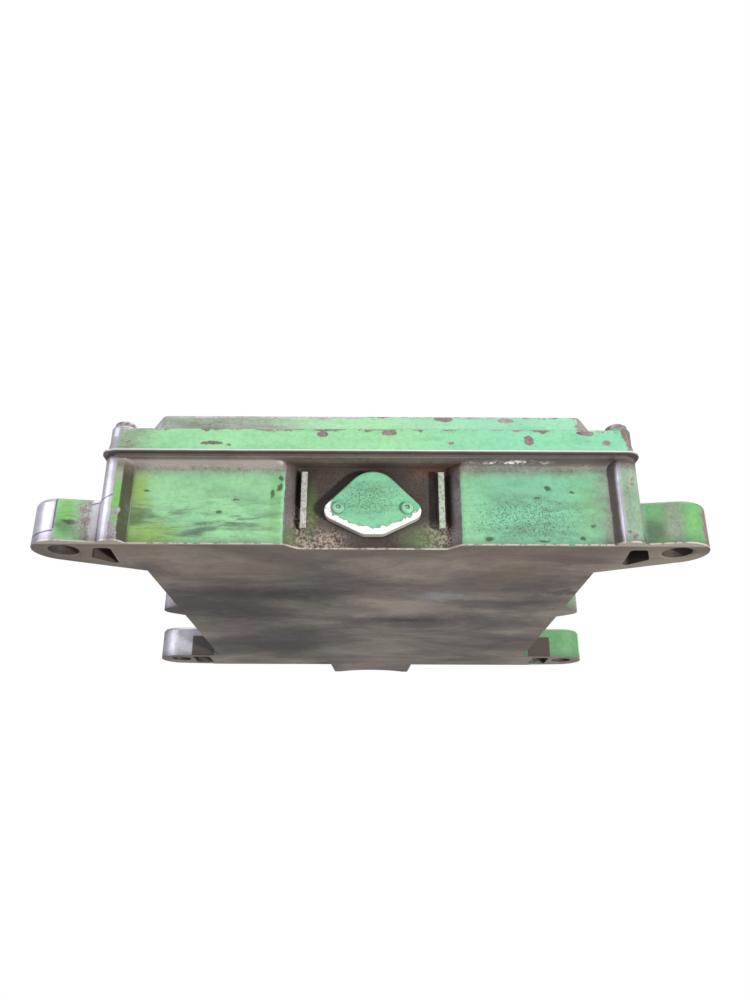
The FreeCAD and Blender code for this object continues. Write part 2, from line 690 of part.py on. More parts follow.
# Cover: a cast lid with a drafted skirt, a bead along its lower edge, six screw bosses and a
# raised middle.
skirt = prism("skirt", rim_top, skirt_top, rectangle_lobes(
    (-skirt_x, skirt_x), (-back_y, back_y), skirt_corner), taper=draft, rounding=skirt_round)
bead = prism("bead", rim_top, bead_top, rectangle_lobes(
    (-bead_x, bead_x), (-bead_y, bead_y), skirt_corner), rounding=bead_round)
raised = prism("raised_middle", skirt_top - 1, raised_top, rectangle_lobes(
    (-raised_x, raised_x), (-raised_y, raised_y), raised_corner), taper=raised_draft,
    rounding=raised_round)
domes = [
    prism(f"screw_boss_{i}", rim_top, dome_top, [(x, y, dome_r)], rounding=dome_round)
    for i, (x, y) in enumerate(screw_places)
]
lid_hollow = fuse(
    "lid_hollow",
    prism("lid_cavity", rim_top - 1, lid_low, rectangle_lobes(
        (-lid_x, lid_x), (-lid_near, lid_far), cavity_corner)),
    prism("lid_upper_cavity", lid_low - 1, lid_top, rectangle_lobes(
        (-lid_inner_x, lid_inner_x), (-lid_inner_near, lid_inner_far), cavity_corner),
        taper=draft),
)
lid_holes = [
    rod(f"cover_clearance_{i}", clearance, rim_top - 1, raised_top, x=x, y=y)
    for i, (x, y) in enumerate(screw_places)
]
spot_faces = [
    rod(f"spot_face_{i}", spot_r, dome_top, raised_top, x=x, y=y)
    for i, (x, y) in enumerate(screw_places)
]
rivet_places = [((plate_x - rivet_inset) * i, (plate_y - rivet_inset) * j)
                for i in (-1, 1) for j in (-1, 1)]
rivet_holes = [
    rod(f"rivet_hole_{i}", rivet_r, raised_top - rivet_depth, raised_top + 1, x=x, y=y)
    for i, (x, y) in enumerate(rivet_places)
]
cover = cut("cover_cast", fuse("cover_solid", skirt, bead, raised, *domes), lid_hollow,
            *lid_holes, *spot_faces, *rivet_holes)
node(cover, "cover")


def turned_screw(label, head_r, head_h, shank_r, shank_length, socket_r, socket_depth, edge):
    """A screw along Z with its head's seat at the origin, a rounded head and a hex socket."""
    head = prism(label + "_head", 0, head_h, [(0, 0, head_r)], rounding=edge)
    shank = rod(label + "_shank", shank_r, -shank_length, 0)
    hexagon = document.addObject("Part::Prism", label + "_socket")
    hexagon.Polygon = 6
    bind(hexagon, Circumradius=socket_r, Height=socket_depth + 1)
    place(hexagon, 0, 0, head_h - socket_depth)
    return cut(label, fuse(label + "_solid", head, shank), hexagon)


cover_screw = turned_screw("cover_screw", head_r, head_h, screw_hole,
                           dome_top - rim_top + screw_depth, socket_r, socket_z, head_edge)
node(copies("cover_screw_set", cover_screw, [(x, y, dome_top) for x, y in screw_places]),
     "cover_screws")
rating_plate = cut(
    "rating_plate_blank",
    prism("rating_plate_sheet", raised_top, raised_top + label_z, rectangle_lobes(
        (-plate_x, plate_x), (-plate_y, plate_y), label_r)),
    *[rod(f"rating_plate_hole_{i}", rivet_r, raised_top - 1, raised_top + label_z + 1, x=x, y=y)
      for i, (x, y) in enumerate(rivet_places)],
)
node(rating_plate, "rating_plate")
rivet = fuse(
    "rivet",
    prism("rivet_head", 0, rivet_head_h, [(0, 0, rivet_head_r)],
          rounding=rivet_edge),
    rod("rivet_shank", rivet_r, -rivet_depth - label_z, 0),
)
node(copies("rivet_set", rivet, [(x, y, raised_top + label_z) for x, y in rivet_places]),
     "plate_rivets")

# Breather port: a three-lobed cast plate on a rubber gasket covers a membrane held by a ring.


def port_lobes(shrink):
    """Outline of the three-lobed plate, its arcs shrunk about their centres."""
    return [
        (port_x + plate_side - side_r, side_z, side_r - shrink),
        (port_x, plate_top - top_r, top_r - shrink),
        (port_x - plate_side + side_r, side_z, side_r - shrink),
        (port_x - low_x, plate_low + low_r, low_r - shrink),
        (port_x + low_x, plate_low + low_r, low_r - shrink),
    ]


plate_back = -recess_y - gasket_z
plate_front = plate_back - plate_z
plate_screw_tools = [
    rod(f"plate_clearance_{i}", plate_clear, plate_front - 1, -recess_y + 1, x=x,
        z=plate_screw_z, axis="Y")
    for i, x in enumerate(plate_places)
]
plate_socket = rod("plate_breather_socket", vent_r, plate_back - 2, -recess_y + 1, x=port_x,
                   z=vent_z, axis="Y")
port_plate = cut(
    "port_plate_cast",
    prism("port_plate_solid", plate_front, plate_back, port_lobes(0), plane="XZ",
          rounding=plate_round),
    *plate_screw_tools, plate_socket,
)
node(port_plate, "port_plate")
port_gasket = cut(
    "port_gasket_sheet",
    prism("port_gasket_solid", plate_back, -recess_y, port_lobes(gasket_inset), plane="XZ"),
    *plate_screw_tools, plate_socket,
)
node(port_gasket, "port_gasket")
plate_screw = turned_screw("plate_screw", plate_head_r, plate_head_h, plate_hole, plate_shank,
                           plate_socket_r, plate_socket_z, plate_edge)
node(copies("plate_screw_set", plate_screw,
            [(x, plate_front, plate_screw_z) for x in plate_places], Vector(1, 0, 0), 90),
     "port_screws")
node(rod("vent_membrane_disc", vent_r, -ring_start - membrane_z, -ring_start, x=port_x, z=vent_z,
         axis="Y"), "vent_membrane")
node(cut(
    "vent_ring_turned",
    rod("vent_ring_outer", vent_r, -ring_start, -cavity_near, x=port_x, z=vent_z, axis="Y"),
    rod("vent_ring_hole", ring_inner, -ring_start - 1, -cavity_near + 1, x=port_x, z=vent_z,
        axis="Y"),
), "vent_ring")

# Connectors: moulded headers bolted to the far wall over flat seals, each with a brass insert
# for the plug's jackscrew and four rows of angled pins.
seal_face = back_y + sheet_y
flange_face = seal_face + flange_y
shroud_end = flange_face + shroud_y
board_top = stand_top + board_z
pin_rows, pins_a_side = 4, 5
middle_row = (pin_rows - 1) / 2


def row_height(row):
    return plug_z + pin_pitch_z * (row - middle_row)


def angled_pin(row):
    """One pin: straight from the socket back over the board, then down into it."""
    tail = tail_y - tail_step * row
    label = f"pin_row_{row}"
    return fuse(
        label,
        box(label + "_blade", (-pin_half, pin_half), (tail - pin_half, flange_face + pin_tip),
            (row_height(row) - pin_half, row_height(row) + pin_half)),
        box(label + "_tail", (-pin_half, pin_half), (tail - pin_half, tail + pin_half),
            (stand_top - 1, row_height(row) + pin_half)),
    )


pin_masters = [angled_pin(row) for row in range(pin_rows)]
document.recompute()
pin_offsets = []
for side in (-1, 1):
    pin_offsets += [(pin_first_x + pin_pitch_x * i) * side for i in range(pins_a_side)]
pin_groups = []
for name, side in connector_sides:
    centre = plug_x * side
    pins = document.addObject("Part::Feature", f"pin_set_{name}")
    pins.Shape = Part.makeCompound([
        master.Shape.translated(Vector((centre + offset).value, 0, 0))
        for master in pin_masters
        for offset in pin_offsets
    ])
    pin_groups.append(pins)
    screw_tools = [
        rod(f"flange_clearance_{name}_{i}", flange_screw_clearance, back_y - 1, flange_face + 1,
            x=x, z=z, axis="Y")
        for i, (x, z) in enumerate(flange_places)
        if (x.value > 0) == (side > 0)
    ]
    insert_start = flange_face + insert_tip - insert_y
    barrel = rod(f"insert_barrel_{name}", insert_r, insert_start, flange_face + insert_tip,
                 x=centre, z=plug_z, axis="Y")
    insert = cut(
        f"insert_turned_{name}", barrel,
        rod(f"insert_thread_{name}", insert_bore, insert_start + insert_floor, flange_face + insert_tip + 1,
            x=centre, z=plug_z, axis="Y"),
    )
    shell_solid = fuse(
        f"shell_solid_{name}",
        prism(f"flange_{name}", seal_face, flange_face,
              connector_lobes(side, flange_x, flange_z - 1, flange_r), plane="XZ"),
        prism(f"shroud_{name}", flange_face - 1, shroud_end,
              connector_lobes(side, shroud_x, shroud_z, window_r), plane="XZ"),
        prism(f"header_block_{name}", block_y, seal_face + 1,
              connector_lobes(side, window_x, window_z, window_r), plane="XZ"),
    )
    socket = prism(
        f"socket_{name}", flange_face - shroud_floor, shroud_end + 1,
        connector_lobes(side, shroud_x - shroud_wall, shroud_z - shroud_wall, soft), plane="XZ")
    socket_post = rod(f"socket_post_{name}", insert_r + post_wall, flange_face - shroud_floor - 1,
                      flange_face + insert_tip - post_step, x=centre, z=plug_z, axis="Y")
    moulding = cut(f"moulding_{name}", fuse(f"moulding_solid_{name}", cut(
        f"shell_open_{name}", shell_solid, socket), socket_post), barrel, pins, *screw_tools)
    node(moulding, f"connector_{name}_shell")
    node(pins, f"connector_{name}_pins")
    node(insert, f"connector_{name}_insert")
    seal = cut(
        f"flange_seal_sheet_{name}",
        prism(f"flange_seal_{name}", back_y, seal_face,
              connector_lobes(side, flange_x - soft, flange_z - soft - 1, flange_r), plane="XZ"),
        prism(f"flange_seal_window_{name}", back_y - 1, seal_face + 1,
              connector_lobes(side, window_x, window_z, window_r), plane="XZ"),
        *[rod(f"seal_clearance_{name}_{i}", flange_screw_clearance, back_y - 1, seal_face + 1,
              x=x, z=z, axis="Y")
          for i, (x, z) in enumerate(flange_places) if (x.value > 0) == (side > 0)],
    )
    node(seal, f"connector_{name}_seal")

flange_screw = turned_screw(
    "flange_screw", flange_head_r, flange_head_h, flange_hole, flange_face - back_y + flange_end,
    flange_socket, plate_socket_z, flange_edge)
node(copies("flange_screw_set", flange_screw, [(x, flange_face, z) for x, z in flange_places],
            Vector(1, 0, 0), -90), "connector_screws")

# Circuit board on its posts, and what is soldered to it.
main_board = cut(
    "main_board_sheet",
    prism("board_sheet", stand_top, board_top, rectangle_lobes(
        (-board_x, board_x), (-board_near, board_far), board_corner)),
    *[rod(f"board_hole_{i}", board_screw_r, stand_top - 1, board_top + 1, x=x, y=y)
      for i, (x, y) in enumerate(stand_places)],
    *pin_groups,
)
node(main_board, "main_board")
board_screw = turned_screw("board_screw", board_head_r, board_head_h, stand_hole, board_length,
                           plate_socket_r, plate_socket_z, plate_edge)
node(copies("board_screw_set", board_screw, [(x, y, board_top) for x, y in stand_places]),
     "board_screws")
node(compound("thermal_pad_pair", *[
    box(f"thermal_pad_{i}", (-pedestal_half, pedestal_half),
        (y - pedestal_half, y + pedestal_half), (stand_top - pad_z, stand_top))
    for i, y in enumerate((-pedestal_places[0], pedestal_places[1]))
]), "thermal_pads")


def chip(label, half_x, half_y, height):
    """A moulded package with rounded corners, sitting at the origin."""
    return prism(label, 0, height, rectangle_lobes((-half_x, half_x), (-half_y, half_y),
                                                   package_corner))


def board_set(label, master, spots):
    """One node of equal packages standing on the board."""
    return node(copies(label + "_set", master, [(x, y, board_top) for x, y in spots]), label)


board_set("processor", chip("processor_package", processor_half, processor_half, processor_h),
          [(0, -pedestal_places[0])])
board_set("memory_chips", chip("memory_package", memory_x, memory_y, memory_h),
          [(memory_at, memory_first + memory_gap * i) for i in range(3)])
board_set("driver_chips", chip("driver_package", driver_x, driver_y, driver_h),
          [(x, driver_first + driver_gap * i) for x in (-driver_at, driver_at) for i in range(3)])
board_set("crystal", prism("crystal_can", 0, crystal_h, [
    (crystal_x - crystal_y, 0, crystal_y), (-crystal_x + crystal_y, 0, crystal_y)]),
    [(crystal_at, crystal_first)])
board_set("electrolytic_capacitors",
          prism("capacitor_can", 0, can_h, [(0, 0, can_r)], rounding=can_edge),
          [(x, can_first + can_gap * i) for x in (can_at, can_outer) for i in range(3)])
board_set("film_capacitors", chip("film_package", film_x, film_y, film_h),
          [(film_at, film_first + film_gap * i) for i in range(6)])
inductor_spots = [(coil_at, coil_first + coil_gap * i) for i in range(3)]
core = fuse(
    "inductor_core",
    rod("core_lower", core_r, 0, core_disc),
    rod("core_post", core_post, core_disc, core_h - core_disc),
    rod("core_upper", core_r, core_h - core_disc, core_h),
)
winding = cut(
    "inductor_winding",
    rod("winding_outer", winding_r, core_disc, core_h - core_disc),
    rod("winding_inner", core_post, core_disc, core_h - core_disc),
)
board_set("inductor_cores", core, inductor_spots)
board_set("inductor_windings", winding, inductor_spots)
holder = cut(
    "holder_moulding",
    rod("holder_body", holder_r, 0, holder_h),
    rod("holder_pocket", cell_r, holder_floor, holder_h + 1),
)
board_set("battery_holder", holder, [(cell_at, cell_first)])
node(copies("cell", rod("cell_can", cell_r, 0, cell_h),
            [(cell_at, cell_first, board_top + holder_floor)]), "backup_battery")
board_set("pressure_sensor", fuse(
    "sensor_package", chip("sensor_body", sensor_half, sensor_half, sensor_h),
    rod("sensor_barb", barb_r, sensor_h - 1, sensor_h + barb_h)), [(0, sensor_first)])
board_set("service_header", cut(
    "header_moulding",
    box("header_body", (-header_x, header_x), (-header_y, header_y), (sized(0), header_h)),
    box("header_socket", (-header_x + header_wall, header_x - header_wall),
        (-header_y + header_wall, header_y - header_wall), (header_wall * 2, header_h + 1)),
), [(header_at, sensor_first)])
part_columns = [part_left + part_column * i for i in range(4)]
part_columns += [part_right + part_column * i for i in range(3)]
board_set("small_components", chip("chip_part", part_x, part_y, part_h),
          [(x, part_first + part_step * i) for x in part_columns for i in range(7)])

# Power transistors stand against the left wall on an insulating strip, under a steel clamp.
strip_face = -cavity_x + strip_t
transistor_face = strip_face + transistor_t
clamp_face = transistor_face + clamp_t
clamp_tools = [
    rod(f"clamp_clearance_{i}", board_screw_r, -cavity_x - 1, clamp_face + 1, y=y, z=clamp_z,
        axis="X")
    for i, y in enumerate(clamp_places)
]
node(cut("insulating_strip_sheet", box(
    "strip_sheet", (-cavity_x, strip_face), (-strip_end, strip_end),
    (transistor_low - 1, transistor_high + 1)), *clamp_tools), "insulating_strip")
node(cut("clamp_bar", box(
    "clamp_sheet", (transistor_face, clamp_face), (-strip_end, strip_end),
    (clamp_z - clamp_half, clamp_z + clamp_half)), *clamp_tools), "transistor_clamp")
lead_x = strip_face + transistor_t / 2
transistor = fuse(
    "transistor",
    box("transistor_body", (strip_face, transistor_face), (-transistor_half, transistor_half),
        (transistor_low, transistor_high)),
    *[box(f"transistor_lead_{i}", (lead_x - lead_half, lead_x + lead_half),
          (lead_step * i - lead_half, lead_step * i + lead_half),
          (board_top, transistor_low + 1)) for i in (-1, 0, 1)],
)
transistor_spots = [(0, y + clamp_step / 2 + transistor_spread * side, 0)
                    for y in clamp_places[:-1] for side in (-1, 1)]
node(copies("transistor_set", transistor, transistor_spots), "power_transistors")
clamp_screw = turned_screw("clamp_screw", board_head_r, board_head_h, clamp_hole,
                           clamp_face + cavity_x + clamp_depth, plate_socket_r, plate_socket_z,
                           plate_edge)
node(copies("clamp_screw_set", clamp_screw, [(clamp_face, y, clamp_z) for y in clamp_places],
            Vector(0, 1, 0), 90), "clamp_screws")

document.recompute()
for item in document.Objects:
    if {"Invalid", "Error"} & set(item.State):
        raise RuntimeError(f"{item.Label} failed: {item.State}")
os.makedirs("parts", exist_ok=True)
for item in nodes:
    shape = item.Shape
    if shape.isNull() or not shape.isValid() or not shape.Solids:
        raise RuntimeError(f"{item.Label} has no valid solid")
    shape.exportStep(f"parts/{item.Label}.step")
    print(f"{item.Label}: {len(shape.Solids)} solids, {shape.Volume:.0f} mm3")
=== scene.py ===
from math import radians

import bpy
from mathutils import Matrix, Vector


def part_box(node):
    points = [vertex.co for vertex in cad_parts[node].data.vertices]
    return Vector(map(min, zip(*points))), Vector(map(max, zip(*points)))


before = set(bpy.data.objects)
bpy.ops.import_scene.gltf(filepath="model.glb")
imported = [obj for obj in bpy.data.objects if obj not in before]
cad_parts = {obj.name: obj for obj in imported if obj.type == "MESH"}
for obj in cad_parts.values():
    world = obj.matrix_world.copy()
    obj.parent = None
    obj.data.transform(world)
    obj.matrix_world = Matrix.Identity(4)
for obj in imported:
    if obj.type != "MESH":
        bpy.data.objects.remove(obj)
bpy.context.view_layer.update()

# Housing: a die-cast aluminium tub with four lugs. It was sprayed with green enamel, then worn
# bare on its edges, in the end recess and over the whole machined mounting face.


class Recipe:
    """Lays out the nodes of one material or node group."""

    def __init__(self, tree):
        self.tree = tree

    def add(self, kind, inputs=None, output=0, **settings):
        made = self.tree.nodes.new(kind)
        for name, value in settings.items():
            setattr(made, name, value)
        for name, value in (inputs or {}).items():
            if isinstance(value, bpy.types.NodeSocket):
                self.tree.links.new(value, made.inputs[name])
            else:
                made.inputs[name].default_value = value
        return made.outputs[output] if output is not None else made

    def math(self, operation, first, second=0.0, clamp=False):
        return self.add("ShaderNodeMath", {0: first, 1: second}, operation=operation,
                        use_clamp=clamp)

    def vector(self, operation, first, second, output=0):
        return self.add("ShaderNodeVectorMath", {0: first, 1: second}, output,
                        operation=operation)

    def step(self, value, low, high):
        """Rises smoothly from 0 at low to 1 at high, and falls if high is the lower."""
        fixed_ends = not any(isinstance(end, bpy.types.NodeSocket) for end in (low, high))
        flip = fixed_ends and low > high
        ends = (high, low) if flip else (low, high)
        rise = self.add("ShaderNodeMapRange", {"Value": value, "From Min": ends[0],
                        "From Max": ends[1]}, interpolation_type="SMOOTHSTEP")
        return self.math("SUBTRACT", 1.0, rise) if flip else rise

    def noise(self, point, scale, detail=4.0, roughness=0.55, distortion=0.0, output=0):
        return self.add("ShaderNodeTexNoise", {"Vector": point, "Scale": scale, "Detail": detail,
                        "Roughness": roughness, "Distortion": distortion}, output)

    def stretched(self, point, across):
        return self.vector("MULTIPLY", point, across)

    def colour(self, factor, first, second, blend="MIX"):
        return self.add("ShaderNodeMix", {0: factor, 6: first, 7: second}, 2, data_type="RGBA",
                        blend_type=blend)

    def blend(self, factor, first, second):
        return self.add("ShaderNodeMix", {0: factor, 2: first, 3: second}, 0)

    def parts(self, vector):
        split = self.add("ShaderNodeSeparateXYZ", {0: vector}, None)
        return split.outputs[0], split.outputs[1], split.outputs[2]

    def most(self, *masks):
        result = masks[0]
        for mask in masks[1:]:
            result = self.math("MAXIMUM", result, mask)
        return result

    def times(self, *masks):
        result = masks[0]
        for mask in masks[1:]:
            result = self.math("MULTIPLY", result, mask)
        return result

    def use(self, group, **inputs):
        made = self.tree.nodes.new("ShaderNodeGroup")
        made.node_tree = group
        for name, value in inputs.items():
            socket = made.inputs[name.replace("_", " ")]
            if isinstance(value, bpy.types.NodeSocket):
                self.tree.links.new(value, socket)
            else:
                socket.default_value = value
        return made.outputs


SOCKETS = {"value": "NodeSocketFloat", "vector": "NodeSocketVector", "colour": "NodeSocketColor"}


def new_group(name, inputs, outputs):
    """A node group with named sockets, its recipe, its input sockets and its output node."""
    tree = bpy.data.node_groups.new(name, "ShaderNodeTree")
    for title, kind in inputs.items():
        tree.interface.new_socket(name=title, in_out="INPUT", socket_type=SOCKETS[kind])
    for title, kind in outputs.items():
        tree.interface.new_socket(name=title, in_out="OUTPUT", socket_type=SOCKETS[kind])
    recipe = Recipe(tree)
    start = tree.nodes.new("NodeGroupInput")
    end = tree.nodes.new("NodeGroupOutput")
    return recipe, start.outputs, end


def give(recipe, end, **results):
    for name, socket in results.items():
        recipe.tree.links.new(socket, end.inputs[name.replace("_", " ")])


def millimetre_point(recipe):
    """The place on the piece, in millimetres."""
    place = recipe.add("ShaderNodeTexCoord", output=3)
    return recipe.vector("MULTIPLY", place, (1000.0, 1000.0, 1000.0))


# Outward corners, where hands and tools rub, and inward corners, which the materials darken as
# painted shade.
recipe, given, end = new_group(
    "corner_finder", {"Radius": "value", "Reach": "value"},
    {"Edge": "value", "Crevice": "value"})
rounded = recipe.add("ShaderNodeBevel", {"Radius": given["Radius"]}, samples=6)
flat = recipe.add("ShaderNodeNewGeometry", output=1)
turn = recipe.math("SUBTRACT", 1.0, recipe.vector("DOT_PRODUCT", rounded, flat, 1))
openness = recipe.add("ShaderNodeAmbientOcclusion", {"Distance": given["Reach"]}, 1, samples=6)
give(recipe, end,
     Edge=recipe.times(recipe.step(turn, 0.008, 0.13), recipe.step(openness, 0.5, 0.85)),
     Crevice=recipe.step(openness, 0.85, 0.35))
corner_finder = recipe.tree

# A ragged spot of stain, bare metal or another shade around a centre.
recipe, given, end = new_group(
    "ragged_spot",
    {"Point": "vector", "Centre": "vector", "Reach": "vector", "Softness": "value",
     "Raggedness": "value"},
    {"Mask": "value"})
wander = recipe.noise(given["Point"], 0.22, 5.0, 0.65, output=1)
wander = recipe.vector("SUBTRACT", wander, (0.5, 0.5, 0.5))
wander = recipe.add("ShaderNodeVectorMath", {0: wander, 3: given["Raggedness"]}, 0,
                    operation="SCALE")
offset = recipe.vector("SUBTRACT", recipe.vector("ADD", given["Point"], wander), given["Centre"])
offset = recipe.vector("DIVIDE", offset, given["Reach"])
distance = recipe.add("ShaderNodeVectorMath", {0: offset}, 1, operation="LENGTH")
inner = recipe.math("SUBTRACT", 1.0, given["Softness"])
outer = recipe.math("ADD", 1.0, given["Softness"])
fall = recipe.add("ShaderNodeMapRange", {"Value": distance, "From Min": inner, "From Max": outer},
                  interpolation_type="SMOOTHSTEP")
give(recipe, end, Mask=recipe.math("SUBTRACT", 1.0, fall))
ragged_spot = recipe.tree

# Cast aluminium without paint: grey-lavender where rubbed, brown where oil and dust have dried,
# with whitish grains of corrosion.
recipe, given, end = new_group(
    "bare_casting",
    {"Point": "vector", "Edge": "value", "Crevice": "value", "Polish": "value",
     "Grains": "value"},
    {"Color": "colour", "Roughness": "value", "Metallic": "value", "Height": "value"})
cloud = recipe.noise(given["Point"], 0.055, 5.0, 0.6)
fine = recipe.noise(given["Point"], 0.9, 4.0, 0.7)
grain = recipe.noise(given["Point"], 1.5, 3.0, 0.75)
dull = recipe.colour(recipe.step(cloud, 0.35, 0.68), (0.130, 0.100, 0.082, 1),
                     (0.255, 0.215, 0.198, 1))
dull = recipe.colour(recipe.times(recipe.step(fine, 0.47, 0.70), 0.65), dull,
                     (0.035, 0.024, 0.019, 1))
bright = recipe.colour(recipe.step(cloud, 0.3, 0.7), (0.46, 0.44, 0.49, 1),
                       (0.68, 0.67, 0.75, 1))
rubbed = recipe.math("ADD", given["Polish"], recipe.times(given["Edge"], 0.85), clamp=True)
rubbed = recipe.times(rubbed, recipe.blend(rubbed, recipe.step(fine, 0.68, 0.36), 1.0))
base = recipe.colour(rubbed, dull, bright)
salt = recipe.times(recipe.step(grain, 0.56, 0.66), given["Grains"])
base = recipe.colour(salt, base, (0.50, 0.43, 0.36, 1))
# painted shade: inward corners darkened nearly to black
base = recipe.colour(recipe.times(given["Crevice"], 0.85), base, (0.030, 0.019, 0.014, 1))
rough = recipe.blend(rubbed, 0.58, 0.30)
rough = recipe.math("ADD", rough, recipe.times(salt, 0.25), clamp=True)
relief = recipe.math("ADD", recipe.times(fine, recipe.blend(rubbed, 0.06, 0.02)),
                     recipe.times(salt, 0.12))
give(recipe, end, Color=base, Roughness=rough, Metallic=recipe.blend(rubbed, 0.25, 0.5),
     Height=relief)
bare_casting = recipe.tree

# Green enamel on top of the casting: chipped to dirty metal with a pale rim, pitted with black
# specks, and smeared lengthways with dark grease.
recipe, given, end = new_group(
    "worn_enamel",
    {"Point": "vector", "Paint": "colour", "Edge": "value", "Crevice": "value",
     "Bareness": "value", "Specks": "value", "Smears": "value", "Soot": "value",
     "Flake Scale": "value", "Metal Color": "colour",
     "Metal Roughness": "value", "Metal Metallic": "value", "Metal Height": "value"},
    {"Color": "colour", "Roughness": "value", "Metallic": "value", "Height": "value",
     "Bare": "value"})
point = given["Point"]
flake = recipe.noise(point, given["Flake Scale"], 8.0, 0.66)
drive = recipe.math("ADD", given["Bareness"], recipe.times(given["Edge"], 0.62))
limit = recipe.math("SUBTRACT", 0.86, recipe.times(drive, 0.62))
bare = recipe.step(recipe.math("SUBTRACT", flake, limit), 0.0, 0.03)
rim = recipe.step(recipe.math("SUBTRACT", flake, limit), -0.03, -0.002)
shade = recipe.noise(point, 0.035, 4.0, 0.55)
paint = recipe.colour(recipe.step(shade, 0.3, 0.7), given["Paint"], recipe.colour(
    1.0, given["Paint"], (1.12, 1.08, 1.02, 1), "MULTIPLY"))
mottle = recipe.noise(point, 0.5, 5.0, 0.7)
paint = recipe.colour(recipe.times(recipe.step(mottle, 0.42, 0.72), 0.42), paint,
                      recipe.colour(1.0, paint, (0.52, 0.60, 0.52, 1), "MULTIPLY"))
grime = recipe.noise(recipe.stretched(point, (0.05, 0.11, 0.13)), 1.0, 6.0, 0.7, 0.3)
paint = recipe.colour(recipe.times(recipe.step(grime, 0.46, 0.74), 0.5), paint,
                      recipe.colour(1.0, paint, (0.60, 0.62, 0.60, 1), "MULTIPLY"))
speck_noise = recipe.noise(point, 1.25, 4.0, 0.75)
speck_limit = recipe.math("SUBTRACT", 0.76, recipe.times(given["Specks"], 0.26))
specks = recipe.step(recipe.math("SUBTRACT", speck_noise, speck_limit), 0.0, 0.07)
paint = recipe.colour(recipe.times(specks, 0.72), paint, (0.028, 0.045, 0.030, 1))
broad = recipe.noise(recipe.stretched(point, (0.035, 0.14, 0.16)), 1.0, 5.0, 0.65, 0.5)
thin = recipe.noise(recipe.stretched(point, (0.10, 0.8, 0.95)), 1.0, 5.0, 0.75, 0.6)
streak = recipe.most(recipe.step(broad, 0.44, 0.66),
                     recipe.times(recipe.step(thin, 0.50, 0.66), 0.75))
streak = recipe.times(streak, given["Smears"])
paint = recipe.colour(recipe.times(streak, 0.82), paint, (0.072, 0.110, 0.075, 1))
dust = recipe.times(given["Soot"], recipe.math("ADD", 0.55, recipe.times(mottle, 0.8)),
                    recipe.math("ADD", 0.6, recipe.times(speck_noise, 0.7)))
paint = recipe.colour(recipe.math("MINIMUM", dust, 0.96), paint, given["Metal Color"])
paint = recipe.colour(recipe.times(rim, 0.5), paint, (0.34, 0.38, 0.31, 1))
# painted shade: inward corners of the enamel darkened
paint = recipe.colour(recipe.times(given["Crevice"], 0.75), paint, (0.045, 0.042, 0.028, 1))
gloss = recipe.math("ADD", 0.40, recipe.times(recipe.most(specks, streak), 0.3))
gloss = recipe.math("ADD", gloss, recipe.times(mottle, 0.12))
paint_relief = recipe.math("SUBTRACT", recipe.math("ADD", 0.25, recipe.times(mottle, 0.035)),
                           recipe.times(specks, 0.08))
give(recipe, end,
     Color=recipe.colour(bare, paint, given["Metal Color"]),
     Roughness=recipe.blend(bare, gloss, given["Metal Roughness"]),
     Metallic=recipe.blend(bare, 0.0, given["Metal Metallic"]),
     Height=recipe.blend(bare, paint_relief, given["Metal Height"]),
     Bare=bare)
worn_enamel = recipe.tree


def new_material(name):
    material = bpy.data.materials.new(name)
    material.use_nodes = True
    material.node_tree.nodes.clear()
    return material, Recipe(material.node_tree)


def finish_material(recipe, height=None, depth=0.001, **inputs):
    """Ends a material in one Principled BSDF, with a bump of the given depth in metres."""
    settings = {name.replace("_", " "): value for name, value in inputs.items()}
    shader = recipe.add("ShaderNodeBsdfPrincipled", settings, None)
    if height is not None:
        bump = {"Height": height, "Strength": 1.0, "Distance": depth}
        recipe.tree.links.new(recipe.add("ShaderNodeBump", bump), shader.inputs["Normal"])
    recipe.add("ShaderNodeOutputMaterial", {"Surface": shader.outputs[0]}, None)
    return shader


def spot(recipe, point, centre, reach, softness=0.35, raggedness=3.0):
    return recipe.use(ragged_spot, Point=point, Centre=centre, Reach=reach, Softness=softness,
                      Raggedness=raggedness)["Mask"]


def dress(node_name, material):
    """Gives a CAD node its material."""
    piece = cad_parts[node_name]
    piece.data.materials.clear()
    piece.data.materials.append(material)
    return piece


MINT = (0.225, 0.47, 0.255, 1)
TEAL = (0.155, 0.40, 0.255, 1)
OLIVE = (0.20, 0.315, 0.065, 1)
VIVID = (0.14, 0.34, 0.085, 1)
GREYED = (0.22, 0.31, 0.215, 1)
DEEP = (0.105, 0.27, 0.115, 1)
MM = 1000.0
plate_low, plate_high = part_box("port_plate")
port_x = (plate_low[0] + plate_high[0]) / 2 * MM
PANEL_Y = -131.0
POST_Y = -135.3
RECESS_HALF = 40.5

housing_paint, recipe = new_material("housing_enamel")
point = millimetre_point(recipe)
x, y, z = recipe.parts(point)
facing = recipe.add("ShaderNodeTexCoord", output=1)
facing_z = recipe.parts(facing)[2]
corners = recipe.use(corner_finder, Radius=0.0013, Reach=0.009)
edge, crevice_shade = corners["Edge"], corners["Crevice"]
ripple = recipe.times(recipe.math("SUBTRACT", recipe.noise(point, 0.25, 5.0, 0.65), 0.5), 9.0)
height_line = recipe.math("ADD", z, ripple)
x_line = recipe.math("ADD", x, ripple)

